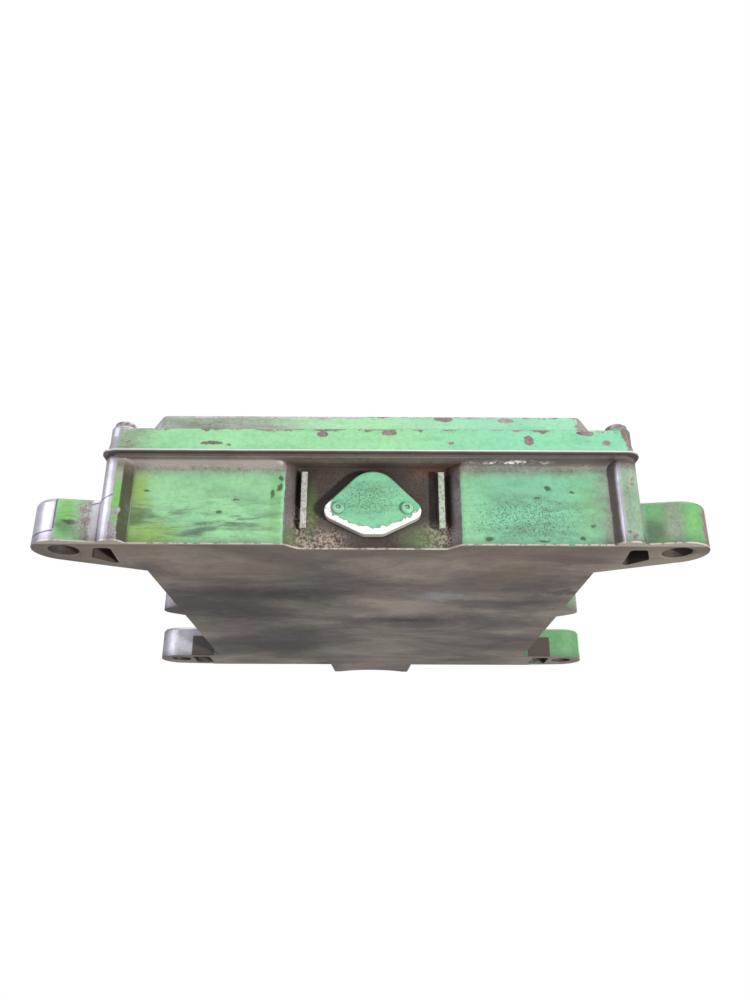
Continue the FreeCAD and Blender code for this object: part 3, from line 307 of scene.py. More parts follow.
# the cove under the rim and the recess are bare, the panels are painted up to the cove
front = recipe.step(y, -118.0, -119.0)
cove = recipe.times(recipe.step(z, 35.5, 39.0), front)
soft_line = recipe.math("ADD", z, recipe.times(ripple, 0.45))
soot = recipe.times(recipe.step(soft_line, 30.5, 37.5), front)
from_port = recipe.math("ABSOLUTE", recipe.math("SUBTRACT", x, port_x))
in_recess = recipe.times(recipe.step(from_port, RECESS_HALF, RECESS_HALF - 1.2),
                         recipe.step(y, PANEL_Y - 0.2, PANEL_Y + 0.8), recipe.step(y, -112.0, -118.0))
underside = recipe.times(recipe.step(facing_z, -0.75, -0.95), recipe.step(z, 1.5, 0.5))
post_line = recipe.math("ADD", x, recipe.times(ripple, 0.22))
left_post = recipe.times(recipe.step(post_line, -113.2, -113.9), recipe.step(y, -126.0, -130.0),
                         recipe.step(x, -124.5, -121.5))
left_post_foot = recipe.times(recipe.step(post_line, -109.0, -110.5), recipe.step(x, -124.5, -121.5),
                              recipe.step(height_line, 15.5, 13.5), recipe.step(y, -126.0, -130.0))
right_post_edge = spot(recipe, point, (109.9, POST_Y, 20), (1.5, 3, 30), 0.5, 1.2)
right_post = recipe.times(recipe.step(x, 108.0, 110.5), recipe.step(x, 121.5, 119.5),
                          recipe.step(y, -124.0, -129.0))
left_wall_shadow = recipe.times(recipe.step(x, -110.6, -110.0), recipe.step(x, -105.4, -107.0),
                         recipe.step(y, -129.0, -130.2))
right_wall = recipe.times(recipe.step(x, 105.0, 107.4), recipe.step(x, 109.9, 109.5),
                          recipe.step(y, -130.0, -130.8))
left_lug_tip = recipe.times(recipe.step(x, -137.2, -137.6), recipe.step(y, 0.0, -20.0))
left_lug_arm = recipe.times(spot(recipe, point, (-123.5, -131, 10), (5.5, 9, 15), 0.5, 3.0),
                            recipe.step(x, -119.0, -121.0))
far_left = recipe.most(spot(recipe, point, (-128, 122, 8), (25, 26, 26), 0.2, 7.0),
                       spot(recipe, point, (-112, -17, 14), (13, 17, 34), 0.2, 7.0))
far_right = spot(recipe, point, (112, -17, 14), (13, 17, 34), 0.4, 7.0)
right_lug = recipe.times(recipe.step(x, 119.0, 121.5), recipe.step(y, 0.0, -20.0))
right_lug_band = recipe.times(right_lug, spot(recipe, point, (132.2, -134, 11), (4.2, 9, 15), 0.7,
                                              2.5))
right_lug_rim = recipe.times(recipe.step(recipe.math("ADD", x, recipe.times(ripple, 1.1)),
                                         145.3, 146.2), recipe.step(y, 0.0, -20.0))
right_end = recipe.times(recipe.step(x_line, 96.0, 108.0), recipe.step(x, 110.5, 109.5), front)
lower_band = recipe.times(recipe.step(height_line, 3.0, -1.5), front)
patchy = recipe.noise(point, 0.35, 4.0, 0.6)
foot_line = recipe.times(recipe.step(z, 0.95, 0.55), recipe.step(y, -118.0, -124.0),
                         recipe.math("ADD", 0.25, recipe.step(patchy, 0.38, 0.56), clamp=True))
# bores and cored pockets of the lugs, and the hollow inside, were never painted
side_x = recipe.math("ABSOLUTE", x)
side_y = recipe.math("ABSOLUTE", y)
bore = recipe.math("SQRT", recipe.math(
    "ADD", recipe.math("POWER", recipe.math("SUBTRACT", side_x, 137.0), 2.0),
    recipe.math("POWER", recipe.math("SUBTRACT", side_y, 121.0), 2.0)))
pocket = recipe.times(recipe.step(side_x, 110.9, 111.2), recipe.step(side_x, 127.4, 127.1),
                      recipe.step(side_y, 103.7, 103.9), recipe.step(z, 14.5, 13.5),
                      recipe.step(side_y, 131.6, 131.4), recipe.step(recipe.math(
                          "SUBTRACT", side_y, recipe.times(side_x, 0.46)), 48.6, 49.0))
hollow = recipe.times(recipe.step(side_x, 102.3, 102.1), recipe.step(y, -119.8, -119.6),
                      recipe.step(y, 132.4, 132.2), recipe.step(z, 4.6, 4.9))
inside = recipe.most(recipe.step(bore, 7.6, 7.2), pocket, hollow)
bareness = recipe.most(
    cove, recipe.times(in_recess, 0.97), underside, inside,
    recipe.times(left_post, 0.97), recipe.times(left_post_foot, 0.70),
    recipe.times(right_post, 0.41), recipe.times(right_post_edge, 0.85),
    recipe.times(left_lug_tip, 0.97), recipe.times(left_lug_arm, 0.62),
    recipe.times(far_left, 0.97), recipe.times(right_lug_rim, 0.92),
    recipe.times(recipe.step(y, -118.0, -110.0), 0.33),
    recipe.times(lower_band, 0.40), recipe.times(right_wall, 0.95), foot_line, 0.24)
# knocks: down the mouth of the recess, over the two panels and along the foot of the right one
mouth_left = port_x - RECESS_HALF
knocks = [(mouth_left - 1, 31, 1.0, 1.5), (mouth_left - 1, 27, 1.2, 1.9),
          (mouth_left - 4, 24, 1.1, 1.7)]
knocks += [(-100, 25, 1.6, 0.5), (-67, 15, 1.3, 0.8), (-60, 21, 2.2, 0.4)]
knocks += [(74, 22, 1.5, 0.6), (79, 27, 1.3, 1.1), (90, 25, 1.6, 0.6), (98, 9, 1.5, 0.7)]
knocks += [(52, 3, 2.2, 1.0), (76, 2, 2.6, 0.7), (93, 3, 1.7, 0.9)]
stains = recipe.most(*(spot(recipe, point, (along, PANEL_Y, up), (wide, 3, tall), 0.4, 3.6)
                       for along, up, wide, tall in knocks),
                     spot(recipe, point, (-131, -134, 9), (3, 4, 1.2), 0.4, 3.6))

# shades of the enamel
paint = recipe.colour(recipe.step(x_line, 30.0, 60.0), MINT, TEAL)
olive = recipe.most(
    spot(recipe, point, (-106.5, PANEL_Y, 17), (8, 8, 24), 0.55, 9.0),
    spot(recipe, point, (-98, PANEL_Y, 4), (13, 8, 8), 0.6, 9.0),
    recipe.times(spot(recipe, point, (97, PANEL_Y, 16), (6, 8, 14), 0.8, 9.0), 0.35))
paint = recipe.colour(recipe.times(olive, 0.8), paint, OLIVE)
paint = recipe.colour(right_lug, paint, DEEP)
paint = recipe.colour(recipe.step(y, 20.0, 60.0), paint, DEEP)
vivid = recipe.most(
    recipe.times(recipe.step(x, -114.5, -113.5), recipe.step(x, -109.0, -110.0),
                 recipe.step(y, -118.0, -122.0), recipe.step(height_line, 28.5, 27.0)),
    recipe.times(spot(recipe, point, (-42.5, PANEL_Y, 17), (2.4, 8, 15), 0.5, 1.5), 0.6),
    spot(recipe, point, (-133.5, -134, 12), (4.0, 8, 9), 0.5, 3.0),
    recipe.times(right_lug, spot(recipe, point, (140.5, -134, 12), (4.5, 8, 8), 0.6, 4.0), 0.45))
paint = recipe.colour(recipe.times(vivid, 0.8), paint, VIVID)
paint = recipe.colour(recipe.times(recipe.step(x, -107.5, -109.5), recipe.step(y, -118.0, -122.0),
                                   recipe.step(height_line, 27.0, 28.5), 0.85), paint,
                      (0.26, 0.29, 0.205, 1))
paint = recipe.colour(recipe.times(right_post, 0.5), paint, GREYED)
# painted shadow: the left post's inner wall darkened nearly to black
paint = recipe.colour(recipe.times(left_wall_shadow, 0.92), paint, (0.026, 0.020, 0.009, 1))
smudge = recipe.most(
    recipe.times(right_lug, spot(recipe, point, (123.5, -134, 6), (5.5, 6, 4.5), 0.7, 6.0)),
    recipe.times(spot(recipe, point, (-103, PANEL_Y, 12), (4.5, 6, 3.0), 0.7, 5.0), 0.9),
    recipe.times(spot(recipe, point, (-132, -134, 6), (5, 6, 3.5), 0.7, 4.0), 0.8))
paint = recipe.colour(recipe.times(smudge, 0.7), paint, (0.035, 0.055, 0.022, 1))
paint = recipe.colour(recipe.times(stains, 0.85), paint, (0.032, 0.042, 0.026, 1))

left_scuff = spot(recipe, point, (-70, PANEL_Y, 10), (31, 8, 12), 0.6, 8.0)
olive_scuff = spot(recipe, point, (-101, PANEL_Y, 13), (8, 8, 8), 0.5, 6.0)
right_scuff = spot(recipe, point, (68, PANEL_Y, 12), (31, 8, 13), 0.6, 9.0)
right_panel = recipe.times(recipe.step(x, 40.0, 44.0), recipe.step(y, -128.0, -130.0))
specks = recipe.math("ADD", 0.14, recipe.times(recipe.most(
    right_scuff, recipe.times(left_scuff, 0.55), recipe.times(olive_scuff, 0.6),
    recipe.times(right_panel, 0.5), soot, recipe.times(right_post, 0.7),
    recipe.times(right_lug, 0.55)), 0.8))
smears = recipe.math("ADD", 0.16, recipe.most(
    left_scuff, recipe.times(olive_scuff, 0.9), recipe.times(right_scuff, 0.45),
    recipe.times(right_lug, spot(recipe, point, (123, -133, 5), (6, 8, 6), 0.5, 4.0), 1.0),
    recipe.times(spot(recipe, point, (-133, -134, 10), (6, 8, 5), 0.5, 4.0), 0.9)))

# the mounting face: machined flat, then stained in long bands
clouds = recipe.noise(recipe.stretched(point, (0.014, 0.024, 0.03)), 1.0, 6.0, 0.60, 0.8)
drawn = recipe.noise(recipe.stretched(point, (0.045, 0.10, 0.1)), 1.0, 7.0, 0.70, 0.4)
haze = recipe.noise(recipe.stretched(point, (0.06, 0.085, 0.08)), 1.0, 7.0, 0.68, 0.5)
tooth = recipe.noise(recipe.stretched(point, (0.40, 0.55, 0.5)), 1.0, 4.0, 0.7)
stain = recipe.colour(recipe.step(clouds, 0.36, 0.64), (0.140, 0.114, 0.096, 1),
                      (0.245, 0.208, 0.163, 1))
stain = recipe.colour(recipe.times(recipe.step(drawn, 0.50, 0.76), 0.50), stain,
                      (0.080, 0.062, 0.056, 1))
stain = recipe.colour(recipe.times(recipe.step(haze, 0.50, 0.74), 0.45), stain,
                      (0.29, 0.250, 0.205, 1))
stain = recipe.colour(recipe.times(recipe.step(tooth, 0.46, 0.70), 0.30), stain,
                      (0.065, 0.050, 0.042, 1))
stain = recipe.colour(recipe.times(recipe.step(tooth, 0.42, 0.26), 0.25), stain,
                      (0.36, 0.32, 0.27, 1))
for centre, reach, shade, strength in (
        ((-72, -10, 0), (34, 48, 9), (0.044, 0.034, 0.034), 0.90),
        ((-55, -52, 0), (44, 11, 9), (0.036, 0.026, 0.024), 0.92),
        ((-55, 72, 0), (40, 34, 9), (0.040, 0.031, 0.032), 0.88),
        ((-103, -96, 0), (9, 12, 9), (0.090, 0.068, 0.055), 0.70),
        ((21, 3, 0), (19, 5, 9), (0.034, 0.030, 0.035), 0.9),
        ((60, -35, 0), (20, 7, 9), (0.055, 0.052, 0.058), 0.65),
        ((99, -58, 0), (11, 4, 9), (0.050, 0.036, 0.030), 0.85),
        ((97, -108, 0), (14, 7, 9), (0.095, 0.070, 0.054), 0.60),
        ((-58, -96, 0), (24, 14, 9), (0.360, 0.305, 0.215), 0.60),
        ((67, -92, 0), (13, 16, 9), (0.300, 0.205, 0.130), 0.45),
        ((36, -48, 0), (10, 7, 9), (0.270, 0.310, 0.360), 0.60),
        ((10, 95, 0), (40, 22, 9), (0.300, 0.270, 0.215), 0.50)):
    patch = recipe.times(spot(recipe, point, centre, reach, 0.85, 19.0),
                         recipe.blend(recipe.step(haze, 0.66, 0.44), 0.7, 1.0))
    stain = recipe.colour(recipe.times(patch, strength), stain, (*shade, 1))
swell = recipe.noise(recipe.stretched(point, (0.011, 0.021, 0.02)), 1.0, 8.0, 0.66, 0.4)
depth = recipe.blend(recipe.step(swell, 0.36, 0.64), 0.62, 1.26)
stain = recipe.colour(1.0, stain, recipe.add("ShaderNodeCombineXYZ", {0: depth, 1: depth,
                                                                      2: depth}), "MULTIPLY")
near_band = recipe.step(recipe.math("ADD", y, recipe.times(ripple, 1.3)), -104.0, -126.0)
stain = recipe.colour(recipe.times(near_band, 0.5), stain, (0.150, 0.108, 0.078, 1))
worn_line = recipe.times(recipe.step(y, -129.6, -130.6), 0.7)
stain = recipe.colour(worn_line, stain, (0.48, 0.43, 0.36, 1))

sandy = recipe.times(in_recess, recipe.most(
    spot(recipe, point, (-24, -124.5, 3), (12, 8, 6), 0.5, 7.0),
    spot(recipe, point, (30, -124.5, 5), (8, 8, 7), 0.5, 6.0),
    spot(recipe, point, (-30, -127, 12), (5, 8, 8), 0.6, 5.0)))
mouth_polish = recipe.times(in_recess, recipe.step(from_port, 34.5, 36.0))
polish = recipe.most(recipe.times(left_post, 0.97), recipe.times(left_post_foot, 0.45),
                     left_lug_tip, recipe.times(far_left, 0.85),
                     recipe.times(right_post_edge, 1.0), recipe.times(mouth_polish, 0.5),
                     recipe.times(right_lug_band, 0.25), recipe.times(left_lug_arm, 0.2), 0.04)
grains = recipe.math("ADD", 0.25, recipe.most(recipe.times(sandy, 0.75), recipe.times(cove, 0.55)),
                     clamp=True)
metal = recipe.use(bare_casting, Point=point, Edge=edge, Crevice=crevice_shade, Polish=polish,
                   Grains=grains)
sand = recipe.noise(point, 0.75, 5.0, 0.8)
metal_colour = recipe.colour(recipe.times(sandy, recipe.step(sand, 0.44, 0.58), 0.9),
                             metal["Color"], (0.86, 0.74, 0.62, 1))
tinge = recipe.times(in_recess, recipe.most(
    spot(recipe, point, (-36.5, -127, 4), (3.5, 5, 5), 0.4, 3.0),
    spot(recipe, point, (-27, -125, 18), (2.6, 3, 12), 0.6, 3.0),
    spot(recipe, point, (23, -125, 5), (8, 4, 5), 0.7, 4.0)))
metal_colour = recipe.colour(recipe.times(tinge, 0.55), metal_colour, (0.19, 0.36, 0.12, 1))
cove_tint = recipe.colour(recipe.step(x_line, -30.0, 60.0), (0.34, 0.295, 0.28, 1),
                          (0.060, 0.057, 0.050, 1))
metal_colour = recipe.colour(recipe.times(cove, recipe.step(z, 39.6, 39.0), recipe.step(
    from_port, RECESS_HALF - 1.0, RECESS_HALF + 1.0), 0.75), metal_colour, cove_tint)
right_grime = recipe.times(soot, recipe.step(x_line, 38.0, 50.0), 0.4)
metal_colour = recipe.colour(right_grime, metal_colour, (0.060, 0.057, 0.050, 1))
# painted shade and grime: the recess darkened to under half, orange-brown near its top right
recess_shade_and_grime = recipe.colour(spot(recipe, point, (32, -124, 39), (13, 12, 4), 0.8, 5.0),
                            (0.46, 0.435, 0.41, 1), (0.78, 0.50, 0.32, 1))
metal_colour = recipe.colour(in_recess, metal_colour, recipe.colour(
    1.0, metal_colour, recess_shade_and_grime, "MULTIPLY"))
shadowed_rim = recipe.times(recipe.step(z, 38.8, 39.8), recipe.step(y, -118.0, -121.0))
metal_colour = recipe.colour(recipe.times(shadowed_rim, 0.75), metal_colour,
                             (0.105, 0.080, 0.066, 1))
# painted highlight: a broken bright line along the convex edge above the right-hand cove
rim_glint = recipe.times(spot(recipe, point, (64, -132, 38.8), (15, 6, 0.42), 0.7, 0.9),
                       recipe.step(recipe.noise(point, 0.22, 6.0, 0.8), 0.50, 0.60))
metal_colour = recipe.colour(recipe.times(rim_glint, 0.8), metal_colour, (0.80, 0.79, 0.76, 1))
# painted shade: dark brown down the left part of the right post's inner wall, which is otherwise bare
metal_colour = recipe.colour(recipe.times(right_wall, recipe.step(x, 110.0, 108.6), 0.9),
                             metal_colour, (0.085, 0.060, 0.055, 1))
metal_colour = recipe.colour(recipe.times(right_lug_rim, 0.7), metal_colour,
                             (0.175, 0.125, 0.085, 1))
metal_colour = recipe.colour(recipe.times(foot_line, 0.8), metal_colour, (0.50, 0.47, 0.39, 1))
# painted shade inside the lug bores
metal_colour = recipe.colour(recipe.times(recipe.step(bore, 7.5, 7.1), 0.85), metal_colour,
                             (0.062, 0.046, 0.036, 1))
# thin steps where a thick layer of old enamel ends on the bare post and lug
post_seam = recipe.math("ABSOLUTE", recipe.math("SUBTRACT", z, recipe.math(
    "ADD", 21.0, recipe.times(recipe.math("ADD", x, 114.7), 0.45))))
post_seam = recipe.times(left_post, recipe.step(post_seam, 0.45, 0.15))
lug_seam = recipe.most(
    recipe.times(recipe.step(recipe.math("ABSOLUTE", recipe.math("ADD", x, 137.8)), 0.5, 0.2),
                 recipe.step(z, 5.0, 6.0)),
    recipe.times(recipe.step(recipe.math("ABSOLUTE", recipe.math("SUBTRACT", z, recipe.math(
        "SUBTRACT", 4.8, recipe.times(recipe.math("ADD", x, 138.0), -0.12)))), 0.5, 0.2),
        recipe.step(x, -137.6, -138.0)))
lug_seam = recipe.times(lug_seam, recipe.step(y, -120.0, -124.0))
seams = recipe.most(post_seam, lug_seam)
metal_colour = recipe.colour(recipe.times(seams, 0.8), metal_colour, (0.05, 0.04, 0.04, 1))
# painted shade inside the cored pockets of the lugs
metal_colour = recipe.colour(recipe.times(pocket, 0.9), metal_colour, (0.05, 0.035, 0.028, 1))
rib_front = recipe.times(recipe.step(y, -128.2, -128.8), in_recess, recipe.step(z, 37.5, 36.5),
                         recipe.step(from_port, 29.0, 29.6), recipe.step(from_port, 33.2, 32.7))
rib_blend = recipe.step(recipe.noise(point, 0.55, 5.0, 0.75), 0.40, 0.56)
metal_colour = recipe.colour(recipe.times(rib_front, 0.85), metal_colour, recipe.colour(
    rib_blend, recipe.colour(recipe.step(x, -1.0, 1.0), (0.26, 0.22, 0.18, 1),
                             (0.20, 0.33, 0.16, 1)), (0.50, 0.53, 0.48, 1)))
metal_colour = recipe.colour(underside, metal_colour, stain)
metal_rough = recipe.blend(underside, metal["Roughness"], recipe.math(
    "ADD", 0.40, recipe.times(haze, 0.25)))
metal_metallic = recipe.blend(underside, metal["Metallic"], 0.2)
soft_wear = recipe.most(soot, recipe.times(right_end, 0.85), recipe.times(left_lug_arm, 0.9),
                        recipe.times(right_lug_band, 0.62), recipe.times(far_right, 0.7),
                        recipe.times(right_post, 0.38))
enamel = recipe.use(
    worn_enamel, Point=point, Paint=paint, Edge=edge, Crevice=crevice_shade, Bareness=bareness,
    Specks=specks, Smears=smears, Soot=soft_wear, Flake_Scale=0.19, Metal_Color=metal_colour,
    Metal_Roughness=metal_rough, Metal_Metallic=metal_metallic, Metal_Height=metal["Height"])
finish_material(recipe, enamel["Height"], 0.0006, Base_Color=enamel["Color"],
                Roughness=enamel["Roughness"], Metallic=enamel["Metallic"])


def soften(piece, width, angle=28.0):
    """Rolls the sharp edges of a casting or moulding, as tumbling and paint leave them."""
    merge = piece.modifiers.new("flat_faces", "DECIMATE")
    merge.decimate_type = "DISSOLVE"
    merge.angle_limit = radians(0.5)
    roll = piece.modifiers.new("rolled_edges", "BEVEL")
    roll.width = width
    roll.segments = 2
    roll.limit_method = "ANGLE"
    roll.angle_limit = radians(angle)
    roll.use_clamp_overlap = False


soften(dress("housing", housing_paint), 0.0004)

# Cover: the cast lid that six screws pull down on the rim, with a bead along its lower edge. Its
# enamel has chipped along the upper edges and its left corner is rubbed bare.
cover_paint, recipe = new_material("cover_enamel")
point = millimetre_point(recipe)
x, y, z = recipe.parts(point)
corners = recipe.use(corner_finder, Radius=0.0013, Reach=0.007)
edge, crevice_shade = corners["Edge"], corners["Crevice"]
ripple = recipe.times(recipe.math("SUBTRACT", recipe.noise(point, 0.16, 6.0, 0.65), 0.5), 9.0)
height_line = recipe.math("ADD", z, ripple)
x_line = recipe.math("ADD", x, recipe.times(ripple, 1.6))
front = recipe.step(y, -118.0, -124.0)
bead = recipe.times(recipe.step(z, 42.9, 42.4), recipe.step(z, 40.4, 40.8))
bead_highlight = recipe.times(bead, recipe.step(z, 41.2, 41.7), front)
top_chips = recipe.times(recipe.step(height_line, 51.6, 54.2), recipe.step(z, 55.3, 54.6))
top_border = recipe.most(recipe.step(recipe.math("ABSOLUTE", x_line), 90.0, 99.0),
                         recipe.step(y, -110.0, -117.0), recipe.step(y, 118.0, 125.0))
raised_chips = recipe.times(recipe.step(height_line, 63.8, 66.0), top_border)
left_grey = recipe.times(recipe.step(x_line, -92.0, -112.0), recipe.step(z, 42.3, 43.0))
left_corner = recipe.times(recipe.step(x, -112.2, -114.5), recipe.step(y, -100.0, -120.0))
right_corner = recipe.times(recipe.step(x_line, 112.5, 115.0), recipe.step(y, -100.0, -120.0))
left_boss = spot(recipe, point, (-112, -131, 56), (9, 9, 5), 0.3, 2.0)
near_side = recipe.step(recipe.math("ADD", y, ripple), -60.0, -100.0)
raised_right = recipe.times(recipe.step(x_line, 92.0, 97.0), recipe.step(z, 55.6, 57.0),
                            near_side)
raised_tip = recipe.times(recipe.step(x, -97.0, -98.0), recipe.step(z, 55.4, 55.8), near_side)
raised_left = recipe.times(recipe.step(x_line, -20.0, -60.0), recipe.step(z, 55.0, 57.0))
streak_band = recipe.times(recipe.step(z, 64.0, 65.4), recipe.step(x_line, 10.0, -10.0),
                           recipe.step(y, -114.0, -117.0))
bareness = recipe.most(
    bead, recipe.times(top_chips, 0.70), recipe.times(raised_chips, 0.62),
    recipe.times(left_grey, 0.42), recipe.times(left_corner, 0.93),
    recipe.times(right_corner, 0.92), recipe.times(left_boss, 0.9),
    recipe.times(raised_left, 0.42), recipe.times(streak_band, 0.7),
    recipe.times(raised_right, 0.9), recipe.times(raised_tip, 0.9), 0.23)
# chips knocked out of the skirt, then two on the near edge of the raised middle
chips = [(-72, -138, 46, 5.5, 1.1), (-64, -138, 45, 1.0, 0.6), (36, -138, 46, 1.6, 1.0),
         (71, -137, 48, 2.4, 3.2), (106, -138, 47, 2.2, 1.4), (-22, -137, 51, 3.4, 1.8),
         (8, -137, 52, 4.0, 1.8), (97, -137, 52, 4.5, 1.3)]
chips += [(34, -127, 65, 5.5, 2.4), (63, -127, 64, 4.5, 1.8)]
for along, depth, up, wide, tall in chips:
    bareness = recipe.most(bareness, recipe.times(
        spot(recipe, point, (along, depth, up), (wide, 4, tall), 0.3, 3.0), 0.84))
paint = recipe.colour(recipe.step(x_line, 0.0, 60.0), (0.225, 0.495, 0.26, 1),
                      (0.17, 0.465, 0.285, 1))
paint = recipe.colour(recipe.times(left_grey, 0.6), paint, GREYED)
paint = recipe.colour(recipe.times(raised_left, 0.65), paint, GREYED)
pale = recipe.noise(recipe.stretched(point, (0.02, 0.05, 0.12)), 1.0, 4.0, 0.6)
paint = recipe.colour(recipe.times(recipe.step(pale, 0.5, 0.7), 0.35), paint, (0.27, 0.54, 0.32, 1))
specks = recipe.math("ADD", 0.10, recipe.times(recipe.most(
    left_grey, recipe.times(top_chips, 0.5), raised_left), 0.65))
smears = recipe.math("ADD", 0.05, recipe.most(left_grey, recipe.times(raised_left, 0.8)))
polish = recipe.most(recipe.times(left_corner, 0.95), recipe.times(bead_highlight, 0.9),
                     recipe.times(left_boss, 0.6), recipe.times(streak_band, 0.5),
                     recipe.times(raised_tip, 0.8), 0.06)
metal = recipe.use(bare_casting, Point=point, Edge=edge, Crevice=crevice_shade, Polish=polish,
                   Grains=0.3)
# painted highlight along the bead's upper half, also rubbed bright in the polish above, and painted
# shade along its lower half
metal_colour = recipe.colour(recipe.times(bead_highlight, 0.8), metal["Color"],
                             (0.68, 0.66, 0.58, 1))
metal_colour = recipe.colour(recipe.times(bead, recipe.step(z, 41.7, 41.2), 0.8), metal_colour,
                             (0.055, 0.042, 0.034, 1))
grimy = recipe.most(recipe.times(left_grey, 0.45), recipe.times(raised_left, 0.55),
                    recipe.times(recipe.step(height_line, 52.4, 54.4), recipe.step(z, 55.6, 55.0),
                                 0.55))
enamel = recipe.use(
    worn_enamel, Point=point, Paint=paint, Edge=edge, Crevice=crevice_shade, Bareness=bareness,
    Specks=specks, Smears=smears, Soot=grimy, Flake_Scale=0.27, Metal_Color=metal_colour,
    Metal_Roughness=metal["Roughness"],
    Metal_Metallic=metal["Metallic"], Metal_Height=metal["Height"])
finish_material(recipe, enamel["Height"], 0.0006, Base_Color=enamel["Color"],
                Roughness=enamel["Roughness"], Metallic=enamel["Metallic"])
soften(dress("cover", cover_paint), 0.0004)

# Breather port plate: a small cast cover on a gasket, enamelled over white primer that shows
# where the lower edge has been knocked.
port_paint, recipe = new_material("port_plate_enamel")
point = millimetre_point(recipe)
x, y, z = recipe.parts(point)
corners = recipe.use(corner_finder, Radius=0.0010, Reach=0.004)
edge, crevice_shade = corners["Edge"], corners["Crevice"]
ripple = recipe.times(recipe.math("SUBTRACT", recipe.noise(point, 0.33, 6.0, 0.68), 0.5), 7.0)
across = recipe.math("ABSOLUTE", recipe.math("SUBTRACT", x, port_x))
lower_edge = recipe.math("ADD", 5.6, recipe.times(recipe.math("POWER", across, 2.0), 0.0195))
above_edge = recipe.math("ADD", recipe.math("SUBTRACT", z, lower_edge), ripple)
primer = recipe.most(recipe.step(above_edge, 3.2, 2.6), recipe.times(
    recipe.step(x, port_x - 17.6, port_x - 19.4), recipe.step(z, 22.5, 20.0)))
primer = recipe.most(primer, recipe.times(edge, recipe.step(z, 20.0, 14.0)))
scuff = spot(recipe, point, (port_x - 2, -129, 22), (16, 6, 9), 0.7, 6.0)
specks = recipe.math("ADD", 0.42, recipe.times(scuff, 0.6))
metal = recipe.use(bare_casting, Point=point, Edge=edge, Crevice=crevice_shade, Polish=0.1, Grains=0.2)
enamel = recipe.use(
    worn_enamel, Point=point, Paint=(0.165, 0.425, 0.26, 1), Edge=recipe.times(edge, 0.4),
    Crevice=crevice_shade, Bareness=0.2, Specks=specks, Smears=recipe.times(scuff, 0.5), Soot=0.0,
    Flake_Scale=0.3,
    Metal_Color=metal["Color"], Metal_Roughness=metal["Roughness"],
    Metal_Metallic=metal["Metallic"], Metal_Height=metal["Height"])
chalk = recipe.colour(recipe.step(recipe.noise(point, 0.8, 4.0, 0.7), 0.5, 0.75),
                      (0.84, 0.83, 0.79, 1), (0.52, 0.48, 0.42, 1))
surface = recipe.colour(primer, enamel["Color"], chalk)
outline = recipe.times(recipe.step(above_edge, 2.2, 2.8), recipe.step(above_edge, 3.8, 3.1))
surface = recipe.colour(recipe.times(outline, 0.45), surface, (0.07, 0.07, 0.05, 1))
# painted shade: the plate's sides, behind its front face, darkened to brown
side_wall_shade = recipe.step(y, -129.2, -128.6)
surface = recipe.colour(recipe.times(side_wall_shade, 0.75), surface, (0.16, 0.13, 0.10, 1))
relief = recipe.math("SUBTRACT", enamel["Height"], recipe.times(primer, 0.14))
finish_material(recipe, relief, 0.0007, Base_Color=surface,
                Roughness=recipe.blend(primer, enamel["Roughness"], 0.7),
                Metallic=recipe.times(enamel["Metallic"], recipe.math("SUBTRACT", 1.0, primer)))
soften(dress("port_plate", port_paint), 0.0004)

# Port screws: two small steel screws that clamp the plate on its gasket. They were driven before
# spraying, so the plate's enamel covers their heads too.
dress("port_screws", port_paint)

# Screws: the six that hold the cover down, and those of the connectors, the board and the clamp.
# They are zinc-plated steel, rubbed and stained like the castings round them.
zinc, recipe = new_material("dulled_zinc")
point = millimetre_point(recipe)
corners = recipe.use(corner_finder, Radius=0.0007, Reach=0.003)
tarnish = recipe.noise(point, 0.35, 5.0, 0.65)
pit = recipe.noise(point, 1.8, 3.0, 0.7)
body = recipe.colour(recipe.step(tarnish, 0.4, 0.62), (0.20, 0.17, 0.145, 1),
                     (0.50, 0.48, 0.49, 1))
body = recipe.colour(recipe.times(corners["Edge"], 0.7), body, (0.66, 0.65, 0.68, 1))
body = recipe.colour(recipe.times(recipe.step(pit, 0.58, 0.7), 0.6), body, (0.09, 0.06, 0.045, 1))
# painted shade: near-black in the sockets and under the heads
body = recipe.colour(recipe.times(corners["Crevice"], 0.85), body, (0.03, 0.022, 0.018, 1))
finish_material(recipe, pit, 0.00008, Base_Color=body,
                Roughness=recipe.blend(recipe.step(tarnish, 0.4, 0.62), 0.55, 0.36),
                Metallic=0.75)
for name in ("cover_screws", "connector_screws", "board_screws", "clamp_screws"):
    dress(name, zinc)


# Seals: moulded rubber cord in the rim, a sheet under the port plate, and two silicone sheets
# under the connector flanges.
def plain_finish(name, first, second, scale, roughness, metallic=0.0, grain=1.5, depth=0.00005,
                 **sockets):
    """A moulded, drawn or turned surface: two shades, a fine grain and painted shade in its corners.
    """
    material, recipe = new_material(name)
    point = millimetre_point(recipe)
    corners = recipe.use(corner_finder, Radius=0.0005, Reach=0.003)
    cloud = recipe.noise(point, scale, 5.0, 0.6)
    fine = recipe.noise(point, grain, 3.0, 0.7)
    body = recipe.colour(recipe.step(cloud, 0.35, 0.65), (*first, 1), (*second, 1))
    rubbed = tuple(min(1.0, part * 1.5 + 0.03) for part in second)
    body = recipe.colour(recipe.times(corners["Edge"], 0.5), body, (*rubbed, 1))
    # painted shade in the inward corners
    body = recipe.colour(recipe.times(corners["Crevice"], 0.35), body, (0.06, 0.052, 0.042, 1))
    rough = recipe.math("ADD", roughness, recipe.times(recipe.math("SUBTRACT", fine, 0.5), 0.25),
                        clamp=True)
    finish_material(recipe, fine, depth, Base_Color=body, Roughness=rough, Metallic=metallic,
                    **sockets)
    return material


